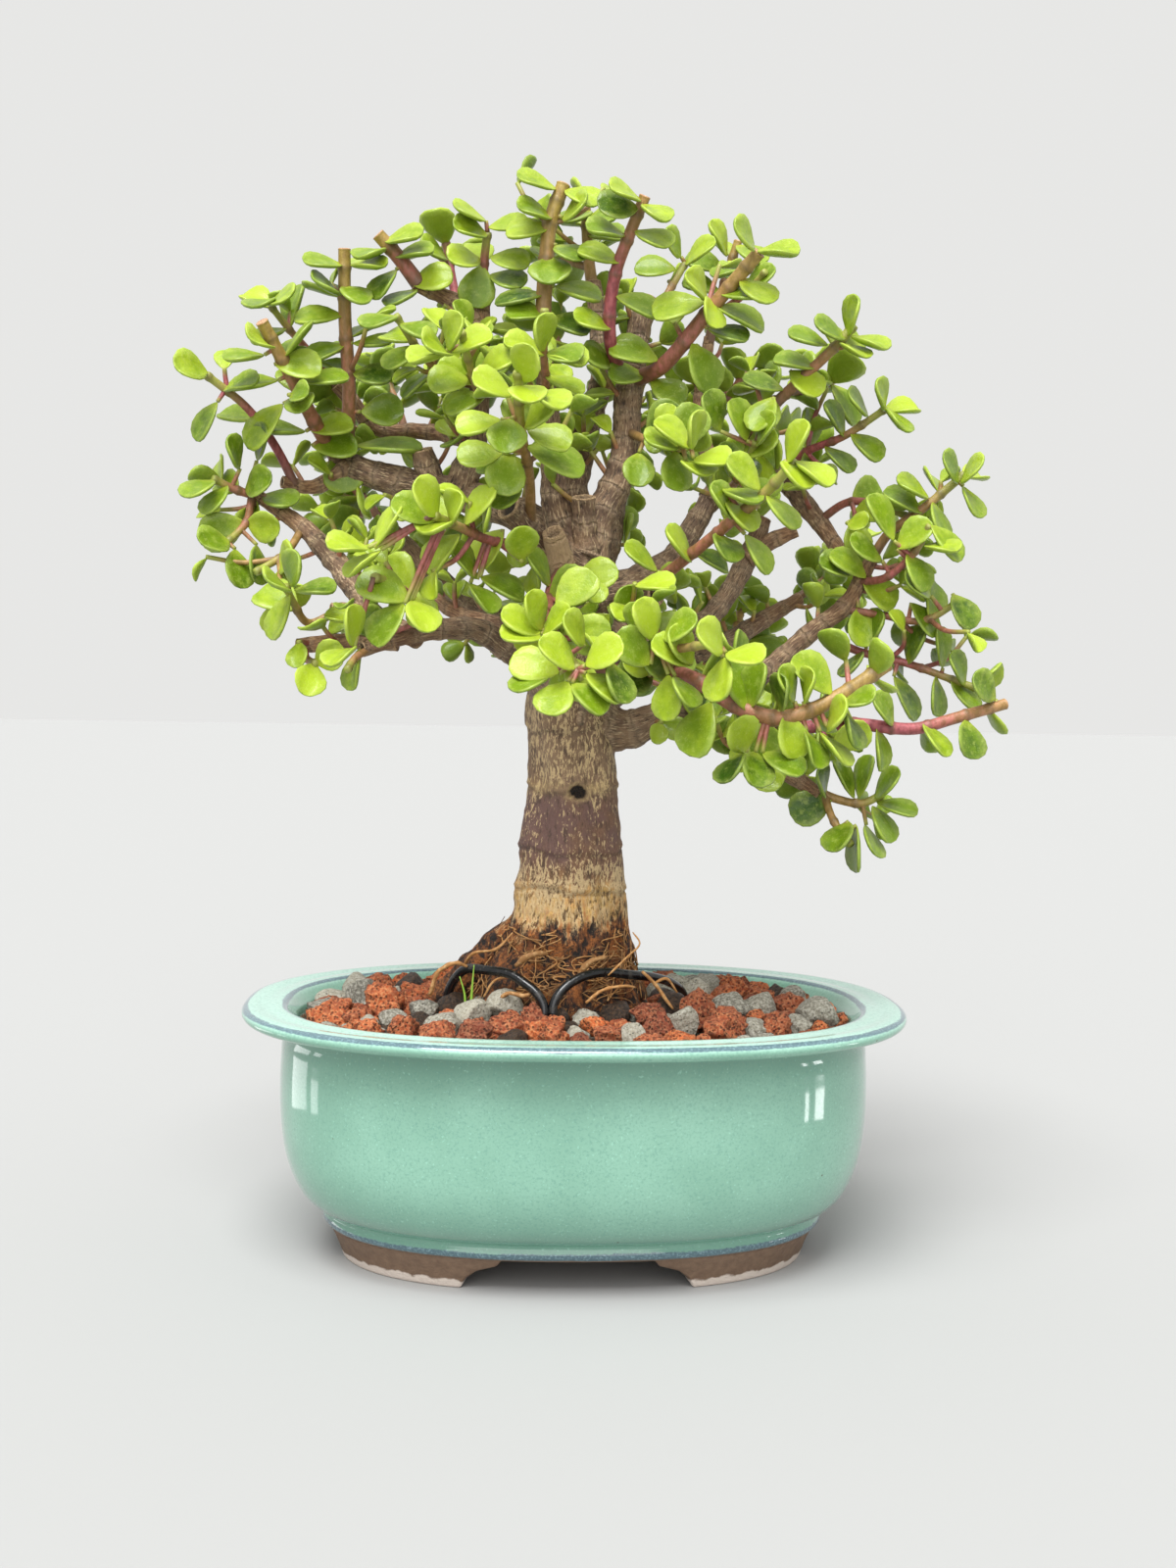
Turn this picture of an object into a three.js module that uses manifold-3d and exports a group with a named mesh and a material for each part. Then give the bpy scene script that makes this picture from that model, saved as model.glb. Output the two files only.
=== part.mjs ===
// Dwarf jade (Portulacaria afra) bonsai in an oval glazed pot. Millimetres, +Z up.
// The model is drawn round the pot's own centre line, with the feet standing on z = 0, and the whole
// group is then shifted in X and Y so that the origin lies under the middle of its bounding box.

import * as THREE from 'three';
import { mergeVertices } from 'three/addons/utils/BufferGeometryUtils.js';
import Module from 'manifold-3d';

const wasm = await Module();
wasm.setup();

// ---------------------------------------------------------------- driving dimensions

const CLEARANCE = 0.3; // gap kept where two pieces touch
const GROWTH_CENTRE = [4, 4, 215]; // the crown grows outwards from here

const POT = {
  halfLength: 108, // outer edge of the lip
  setback: 26.7, // half length minus half width, the same at every height
  fullness: 2.38, // exponent of the oval: 2 is an ellipse, more is fuller at the corners
  height: 81.4,
  lipInner: 93.4,
  wallInner: 89.5,
  floorTop: 17,
  floorUnder: 10.5,
  sides: 24,
};

const FOOT = {
  outerTop: 80.6,
  outerBottom: 75.9,
  innerTop: 64,
  innerBottom: 61,
  rise: 11.6,
  frontArch: 36, // half span of the arch between the front feet
  endArch: 15, // half span of the arch at each end
  archTop: 10.9,
};

const DRAIN = { radius: 9, spacing: 76, sides: 12 };
const SCREEN = { length: 34, width: 30, thick: 1.2, hole: 8, pitch: 11, rows: 2 };
const CUT_THROUGH = 8; // how far a cutting tool runs past what it cuts

const SOIL = { top: 71 };
const GRAVEL = {
  bottom: 71.3,
  edgeTop: 75,
  crownTop: 80.5,
  inset: 1, // of the bed's edge from the wall
  stone: 5, // how far the largest stones stand out
  scatter: 1.3, // how far a stone is moved off its ring
  rings: 8,
  stonesRound: 15, // stones in one ring
  innermost: 33, // half length of the last ring, under the root flare
};
const TIE_RADIUS = 1.5;

const LEAF = {
  length: 13.8,
  width: 0.83, // share of the length
  cup: 1.6, // how far the sides of the rim stand up
  droop: 1.2, // how far the tip hangs
  belly: 2.1, // how far the underside stands out
  internode: 11.8,
  towardsLight: 0.65,
  awayFromCrown: 0.28,
  ball: 0.2, // radius of a clearance ball, share of the length
  room: 0.95, // how close the balls of two sprays may come, share of touching
  ownRoom: 0.8,
};

// ---------------------------------------------------------------- materials

const finish = (color, roughness) => new THREE.MeshStandardMaterial({ color, roughness, metalness: 0 });
const celadonGlaze = finish('#83c3aa', 0.15);
const soilBrown = finish('#3b2c22', 0.95);
const lavaGravel = finish('#a5533b', 0.9);
const bark = finish('#7d6552', 0.85);
const blackTubing = finish('#17181a', 0.35);
const screenPlastic = finish('#1f2422', 0.6);
const leafGreen = finish('#86b93b', 0.35);

// ---------------------------------------------------------------- seeded draws and small vector helpers

// A number from 0 to 1 that depends only on its three whole-number keys.
function draw(a, b, c) {
  const wave = Math.sin(a * 12.9898 + b * 78.233 + c * 37.719) * 43758.5453;
  return wave - Math.floor(wave);
}

const vec = (p) => new THREE.Vector3(p[0], p[1], p[2]);
const mix = (a, b, t) => a + (b - a) * t;

// ---------------------------------------------------------------- solids

// A closed solid from rings of points of equal count. Each end is closed by a flat fan, or by a
// centre point where one is given.
function loft(rings, startCentre, endCentre) {
  const count = rings[0].length;
  const positions = rings.flat().flatMap((p) => [p.x, p.y, p.z]);
  const index = [];
  for (let ring = 0; ring + 1 < rings.length; ring += 1) {
    for (let k = 0; k < count; k += 1) {
      const a = ring * count + k;
      const b = ring * count + ((k + 1) % count);
      index.push(a, b, b + count, a, b + count, a + count);
    }
  }
  const last = (rings.length - 1) * count;
  const close = (first, centre, flip) => {
    const hub = centre ? positions.push(centre.x, centre.y, centre.z) / 3 - 1 : first;
    for (let k = centre ? 0 : 1; k < (centre ? count : count - 1); k += 1) {
      const a = first + k;
      const b = first + ((k + 1) % count);
      index.push(hub, flip ? b : a, flip ? a : b);
    }
  };
  close(0, startCentre, true);
  close(last, endCentre, false);
  return toSolid(positions, index);
}

function toSolid(positions, index) {
  return new wasm.Manifold(new wasm.Mesh({
    numProp: 3,
    vertProperties: new Float32Array(positions),
    triVerts: new Uint32Array(index),
  }));
}

// The solid of a three.js geometry, with its shared corners merged.
function solidOf(geometry) {
  const bare = geometry.clone();
  bare.deleteAttribute('normal');
  bare.deleteAttribute('uv');
  const merged = mergeVertices(bare, 1e-4);
  return toSolid(Array.from(merged.attributes.position.array), Array.from(merged.index.array));
}

function largestBody(solid) {
  const bodies = solid.decompose();
  return bodies.reduce((best, body) => (body.volume() > best.volume() ? body : best));
}

function unite(solids) {
  return solids.reduce((whole, piece) => whole.add(piece));
}

const group = new THREE.Group();

function addNode(name, solid, material) {
  const mesh = solid.getMesh();
  const geometry = new THREE.BufferGeometry();
  geometry.setAttribute('position', new THREE.BufferAttribute(mesh.vertProperties, 3));
  geometry.setIndex(new THREE.BufferAttribute(mesh.triVerts, 1));
  geometry.computeVertexNormals();
  const node = new THREE.Mesh(geometry, material);
  node.name = name;
  group.add(node);
}

// A tapered round stem through points [x, y, z, radius], with flat ends.
function stem(points, sides, extra = 0) {
  const centres = points.map(vec);
  let side = null;
  const rings = centres.map((centre, i) => {
    const before = centres[Math.max(i - 1, 0)];
    const after = centres[Math.min(i + 1, centres.length - 1)];
    const along = after.clone().sub(before).normalize();
    if (!side) {
      side = new THREE.Vector3(1, 0, 0);
      if (Math.abs(along.x) > 0.9) side.set(0, 1, 0);
    }
    side = side.clone().addScaledVector(along, -side.dot(along)).normalize();
    const up = along.clone().cross(side);
    const radius = points[i][3] + extra;
    return Array.from({ length: sides }, (_, k) => {
      const turn = (2 * Math.PI * k) / sides;
      return centre.clone()
        .addScaledVector(side, radius * Math.cos(turn))
        .addScaledVector(up, radius * Math.sin(turn));
    });
  });
  return loft(rings);
}

// ---------------------------------------------------------------- pot

// One level oval of the pot, given by its half length and height.
function oval(halfLength, z, sides = POT.sides) {
  const halfWidth = halfLength - POT.setback;
  const power = 2 / POT.fullness;
  return Array.from({ length: sides }, (_, k) => {
    const turn = (2 * Math.PI * k) / sides;
    const c = Math.cos(turn);
    const s = Math.sin(turn);
    return new THREE.Vector3(
      halfLength * Math.sign(c) * Math.abs(c) ** power,
      halfWidth * Math.sign(s) * Math.abs(s) ** power,
      z,
    );
  });
}

const onAxis = (z) => new THREE.Vector3(0, 0, z);

// Wall section from under the floor, up the outside, over the lip and down the inside.
function potBody() {
  const outside = [
    [74, POT.floorUnder], [FOOT.outerTop, 10.9], [82, 12.6], [80.6, 15],
    [86, 17.2], [92.4, 28], [95.4, 44], [95.5, 69],
  ];
  const lip = [
    [97.5, 75.6], [106.8, 77.2], [POT.halfLength, 79.8], [107, POT.height], [POT.lipInner, POT.height],
  ];
  const inside = [[POT.wallInner, 76], [POT.wallInner, 40], [84, 24], [76, POT.floorTop]];
  const rings = [...outside, ...lip, ...inside].map(([a, z]) => oval(a, z));
  return loft(rings, onAxis(POT.floorUnder), onAxis(POT.floorTop));
}

// One side of the bracket-shaped arch between two feet: [distance in from the foot, height].
const ARCH_SIDE = [[0, -1], [1.5, 3], [5.5, 6.2], [12, 8.4], [14, FOOT.archTop]];

// The arch's outline pushed right through the foot ring from side to side.
function archCutter(halfSpan, alongX) {
  const left = ARCH_SIDE.map(([inward, z]) => new THREE.Vector2(inward - halfSpan, z));
  const right = ARCH_SIDE.map(([inward, z]) => new THREE.Vector2(halfSpan - inward, z));
  const shape = new THREE.Shape([...left, ...right.reverse()]);
  const reach = FOOT.outerTop + CUT_THROUGH;
  const block = new THREE.ExtrudeGeometry(shape, { depth: 2 * reach, bevelEnabled: false });
  block.translate(0, 0, -reach);
  block.rotateX(Math.PI / 2);
  if (alongX) block.rotateZ(Math.PI / 2);
  return solidOf(block);
}

function footRing() {
  const outer = loft([oval(FOOT.outerBottom, 0), oval(FOOT.outerTop, FOOT.rise)]);
  const inner = loft([oval(FOOT.innerBottom, -1), oval(FOOT.innerTop, FOOT.rise + 1)]);
  return outer
    .subtract(inner)
    .subtract(archCutter(FOOT.frontArch, false))
    .subtract(archCutter(FOOT.endArch, true));
}

function drainHole(x) {
  const height = POT.floorTop - POT.floorUnder + 2 * CUT_THROUGH;
  const cylinder = new THREE.CylinderGeometry(DRAIN.radius, DRAIN.radius, height, DRAIN.sides);
  cylinder.rotateX(Math.PI / 2);
  cylinder.translate(x, 0, (POT.floorTop + POT.floorUnder) / 2);
  return solidOf(cylinder);
}

function makePot() {
  let pot = potBody().add(footRing());
  for (const side of [-1, 1]) {
    pot = pot.subtract(drainHole((side * DRAIN.spacing) / 2));
  }
  return pot;
}

function box(cx, cy, cz, x, y, z) {
  const block = new THREE.BoxGeometry(x, y, z);
  block.translate(cx, cy, cz);
  return solidOf(block);
}

// A plastic mesh square that lies on the floor over a drainage hole.
function screenAt(x, grow) {
  const z = POT.floorTop + CLEARANCE + SCREEN.thick / 2;
  return box(x, 0, z, SCREEN.length + 2 * grow, SCREEN.width + 2 * grow, SCREEN.thick + 2 * grow);
}

function makeScreen(x) {
  let screen = screenAt(x, 0);
  for (let i = 1 - SCREEN.rows; i < SCREEN.rows; i += 2) {
    for (let j = 1 - SCREEN.rows; j < SCREEN.rows; j += 2) {
      const hole = [x + (i * SCREEN.pitch) / 2, (j * SCREEN.pitch) / 2, POT.floorTop];
      screen = screen.subtract(box(...hole, SCREEN.hole, SCREEN.hole, CUT_THROUGH));
    }
  }
  return screen;
}

// ---------------------------------------------------------------- trunk, roots and woody limbs

// Trunk sections from the buried root ball to the whorl: [height, x, y, half width, half depth].
const TRUNK = [
  [50, -2, 0, 14, 12],
  [66, -4, 0, 26, 22],
  [80, -6.5, 0, 29.5, 25],
  [92, -5.5, 0, 24, 21],
  [104, -4, 0, 20.2, 18.5],
  [112, -2.8, 0, 18, 17.6],
  [122, -2.2, 0, 17, 17],
  [141, -2.1, 0, 15.6, 16],
  [150, -1.8, 0, 14.8, 15],
  [168, -2.5, 0, 14.2, 14],
  [180, -3.2, 0, 14, 13.4],
  [193, -2.4, 1, 12.4, 12],
  [206, -1, 2, 10.2, 10],
  [219, 0, 3, 8.2, 8],
  [231, 0.5, 3, 6.6, 6.6],
];
const TRUNK_SIDES = 12;
const TRUNK_WAVE = 0.045; // share of the radius that the ribs of the old bark stand out
const TRUNK_RIBS = 5;
const RIB_TWIST = 0.06; // turn of the ribs for each millimetre of height, in radians

// Surface roots: [direction in degrees, reach, radius at the trunk].
const ROOTS = [
  [182, 44, 6.4], [232, 36, 6.6], [280, 33, 7], [330, 32, 6.2], [20, 34, 5.6], [75, 36, 6.6], [130, 40, 6.6],
];

// Old wood, each limb as points [x, y, z, radius] from where it leaves its parent.
const LIMBS = {
  leader: [[1, 1, 226, 6.6], [6, 3, 241, 5.2], [11, 5, 251, 5], [14, 7, 263, 4.6], [15, 9, 282, 4.4],
    [20, 10, 313, 4]],
  backLeader: [[0, 5, 228, 6], [-2, 16, 252, 5], [2, 24, 271, 4.4], [7, 29, 289, 3.8], [4, 34, 323, 3]],
  leftLeader: [[-4, 1, 228, 5.2], [-9, -3, 245, 4.4], [-10, -5, 262, 3.6], [-13, -6, 285, 2.8],
    [-14, -6, 298, 2.3]],
  centreStub: [[1, -2, 229, 4.2], [0, -7, 245, 3.5]],
  frontLeftStub: [[-1, -2, 222, 5.2], [-15, -18, 231, 4.3], [-24, -28, 239, 4]],
  paleStub: [[-3, -4, 214, 5], [-7, -18, 223, 3.8], [-10, -26, 232, 3.3]],
  frontRightStub: [[0, -4, 206, 6], [10, -15, 213, 4.6], [22, -25, 214, 4.3]],
  leftUpper: [[-1, 3, 222, 7], [-15, 9, 238, 6], [-27, 13, 244, 5.4], [-40, 16, 248, 5.3],
    [-64, 20, 253, 5], [-83, 24, 259, 4]],
  leftThin: [[-78, 22, 257, 3], [-90, 20, 250, 2.4], [-99, 16, 251, 2]],
  leftStubUp: [[-50, 18, 251, 4.4], [-53, 15, 262, 3.4]],
  leftVertical: [[-41, 16, 248, 4.8], [-36, 14, 262, 4.1], [-34, 11, 280, 3.3], [-34, 10, 303, 3]],
  leftForkOut: [[-34, 10, 298, 3.2], [-38, 9, 306, 3.1], [-55, 6, 315, 2.4]],
  leftForkUp: [[-34, 10, 300, 2.8], [-33, 11, 313, 2]],
  leftBack: [[-36, 14, 265, 3.2], [-42, 28, 269, 2.8], [-55, 38, 272, 2.7], [-69, 42, 273, 2.8],
    [-83, 36, 287, 2.6]],
  leftLow: [[-5, -2, 184, 8], [-21, -8, 195, 4.4], [-34, -15, 202, 3.6], [-44, -21, 202, 3.3],
    [-68, -33, 195, 2.3]],
  leftLowInner: [[-14, -4, 197, 5], [-27, 2, 204, 3], [-40, 10, 208, 2.5], [-53, 16, 217, 2]],
  leftLowRise: [[-52, -26, 199, 3], [-65, -16, 205, 3.5], [-74, -7, 217, 4], [-91, 5, 235, 3],
    [-107, 9, 246, 1.9]],
  leftStubLow: [[-66, -15, 206, 3.2], [-79, -19, 207, 2.7]],
  leftStubEnd: [[-58, -28, 198, 2.8], [-76, -25, 197, 2.6], [-89, -22, 196, 2.2]],
  rightBackLimb: [[2, 4, 211, 8], [16, 15, 219, 5], [31, 25, 228, 4.2], [42, 34, 244, 3.8],
    [54, 44, 266, 2.9]],
  rightArch: [[45, 37, 250, 3.4], [61, 40, 261, 3.4], [71, 37, 258, 3.5], [79, 33, 249, 3.3],
    [91, 22, 230, 2.4]],
  rightInner: [[3, 2, 199, 8.5], [23, 13, 201, 4.5], [37, 20, 203, 4], [46, 26, 210, 3.7],
    [60, 36, 231, 3.4], [65, 38, 244, 2.8]],
  rightInnerStub: [[59, 35, 230, 3], [69, 35, 237, 2.8], [76, 34, 240, 2.2]],
  rightLow: [[0, 0, 173, 9.5], [16, -2, 171, 6.2], [28, -4, 175, 4.7], [46, -5, 171, 3.7],
    [59, -6, 163, 3.2], [78, -8, 151, 2.1]],
  rightMid: [[28, -3, 174, 4.3], [47, 5, 180, 3.7], [62, 10, 190, 3.4], [79, 12, 205, 3.1],
    [88, 10, 212, 2.9], [97, 4, 229, 2.1]],
  rightRise: [[49, 39, 258, 3], [43, 42, 275, 2.8], [45, 40, 307, 1.9]],
  rightReach: [[53, 43, 264, 2.9], [59, 26, 273, 2.7], [64, 8, 280, 2.2]],
  backCentre: [[0, 4, 205, 7], [6, 28, 218, 5], [12, 50, 236, 4.2], [18, 74, 268, 2.6]],
  backLeft: [[-2, 3, 190, 8], [-18, 28, 202, 4.8], [-38, 46, 214, 4], [-68, 64, 242, 2.5]],
  backRight: [[1, 3, 181, 8], [22, 28, 188, 4.6], [44, 46, 196, 4], [82, 60, 218, 2.4]],
  backLow: [[-2, 3, 174, 9], [-8, 32, 178, 4.2], [-12, 56, 182, 3.2], [-14, 74, 190, 2.3]],
};
const limbSides = (points) => (points[0][3] < 3.6 ? 4 : 5);
const ROOT_SIDES = 5;
const ROOT_FLATTENING = 0.85; // depth of the root spread, share of its width

// Where along its reach a root drops: [share of the reach, height, share of its radius].
const ROOT_DROP = [[0.22, 106, 1], [0.6, 92, 0.8], [0.85, 82, 0.65], [1, 75, 0.35]];

function trunkColumn(extra) {
  const turns = Array.from({ length: TRUNK_SIDES }, (_, k) => (2 * Math.PI * k) / TRUNK_SIDES);
  const rings = TRUNK.map(([z, x, y, halfWidth, halfDepth]) => turns.map((turn) => {
    const rib = 1 + TRUNK_WAVE * Math.cos(TRUNK_RIBS * turn + RIB_TWIST * z);
    return new THREE.Vector3(
      x + (halfWidth * rib + extra) * Math.cos(turn),
      y + (halfDepth * rib + extra) * Math.sin(turn),
      z,
    );
  }));
  return loft(rings);
}

function rootPoints([degrees, reach, radius]) {
  const turn = THREE.MathUtils.degToRad(degrees);
  const baseX = TRUNK[2][1];
  return ROOT_DROP.map(([share, z, thickness]) => [
    baseX + share * reach * Math.cos(turn),
    share * reach * Math.sin(turn) * ROOT_FLATTENING,
    z,
    radius * thickness,
  ]);
}

function makeWood(extra) {
  const pieces = [trunkColumn(extra)];
  for (const root of ROOTS) pieces.push(stem(rootPoints(root), ROOT_SIDES, extra));
  for (const points of Object.values(LIMBS)) pieces.push(stem(points, limbSides(points), extra));
  return unite(pieces);
}

// ---------------------------------------------------------------- soil, gravel and ties

// Black tubing that holds the roots down: two lengths that meet in front of the root flare, each with
// its ends sunk in the soil.
const TIES = {
  tie_left: [[-42, -14, 52], [-42, -14, 76], [-41, -15, 87], [-36.5, -18, 93.5], [-28.5, -24, 94.5],
    [-21.3, -28, 93.9], [-17, -31, 91.6], [-13.6, -33, 89.2], [-11.4, -34.5, 86], [-11.4, -35.5, 78],
    [-11.4, -35.5, 52]],
  tie_right: [[-7.9, -35.5, 52], [-7.9, -35.5, 78], [-7.9, -34.5, 86.5], [-5, -33, 90.4], [-0.2, -31, 93.4],
    [4, -29, 94.5], [9, -26, 94.5], [16, -22, 93.2], [25, -14, 91], [32, -6, 87.5], [36, 0, 83], [37, 3, 74],
    [37, 3, 52]],
};
const TIE_SIDES = 6;

const tieTube = (points, extra) => stem(points.map((p) => [...p, TIE_RADIUS]), TIE_SIDES, extra);

const bothTies = (extra) => unite(Object.values(TIES).map((points) => tieTube(points, extra)));

function makeSoil(wood, ties) {
  const c = CLEARANCE;
  const rings = [
    oval(76 - c, POT.floorTop + c), oval(84 - c, 24 + c),
    oval(POT.wallInner - c, 40 + c), oval(POT.wallInner - c, SOIL.top),
  ];
  let soil = loft(rings, onAxis(POT.floorTop + c), onAxis(SOIL.top));
  for (const side of [-1, 1]) soil = soil.subtract(screenAt((side * DRAIN.spacing) / 2, c));
  return soil.subtract(wood).subtract(ties);
}

// Height of the gravel without its stones: level with the lip near the wall, a low mound by the trunk.
const gravelLevel = (halfLength) => mix(GRAVEL.crownTop, GRAVEL.edgeTop, (halfLength / POT.wallInner) ** 2);

// The bed's top is a skin of rings of points. Every second point is the peak of a stone, and the
// points between are the low places round it.
function gravelRing(halfLength, ring) {
  return oval(halfLength, gravelLevel(halfLength), GRAVEL.stonesRound * 2).map((point, k) => {
    const peak = (k + ring) % 2 === 0;
    const share = peak ? mix(0.45, 1, draw(ring, k, 1)) : mix(0, -0.35, draw(ring, k, 2));
    const scatter = GRAVEL.scatter * Math.min(halfLength / POT.wallInner, 1);
    return point.clone().add(new THREE.Vector3(
      mix(-scatter, scatter, draw(ring, k, 3)),
      mix(-scatter, scatter, draw(ring, k, 4)),
      share * GRAVEL.stone,
    ));
  });
}

function makeGravel(wood, ties) {
  const edge = POT.wallInner - GRAVEL.inset;
  const sides = GRAVEL.stonesRound * 2;
  const rings = [oval(edge, GRAVEL.bottom, sides), oval(edge, GRAVEL.edgeTop, sides)];
  for (let ring = 1; ring <= GRAVEL.rings; ring += 1) {
    rings.push(gravelRing(mix(edge, GRAVEL.innermost, ring / GRAVEL.rings), ring));
  }
  const bed = loft(rings, onAxis(GRAVEL.bottom), onAxis(GRAVEL.crownTop));
  return largestBody(bed.subtract(wood).subtract(ties));
}

// ---------------------------------------------------------------- leafy sprays

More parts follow.
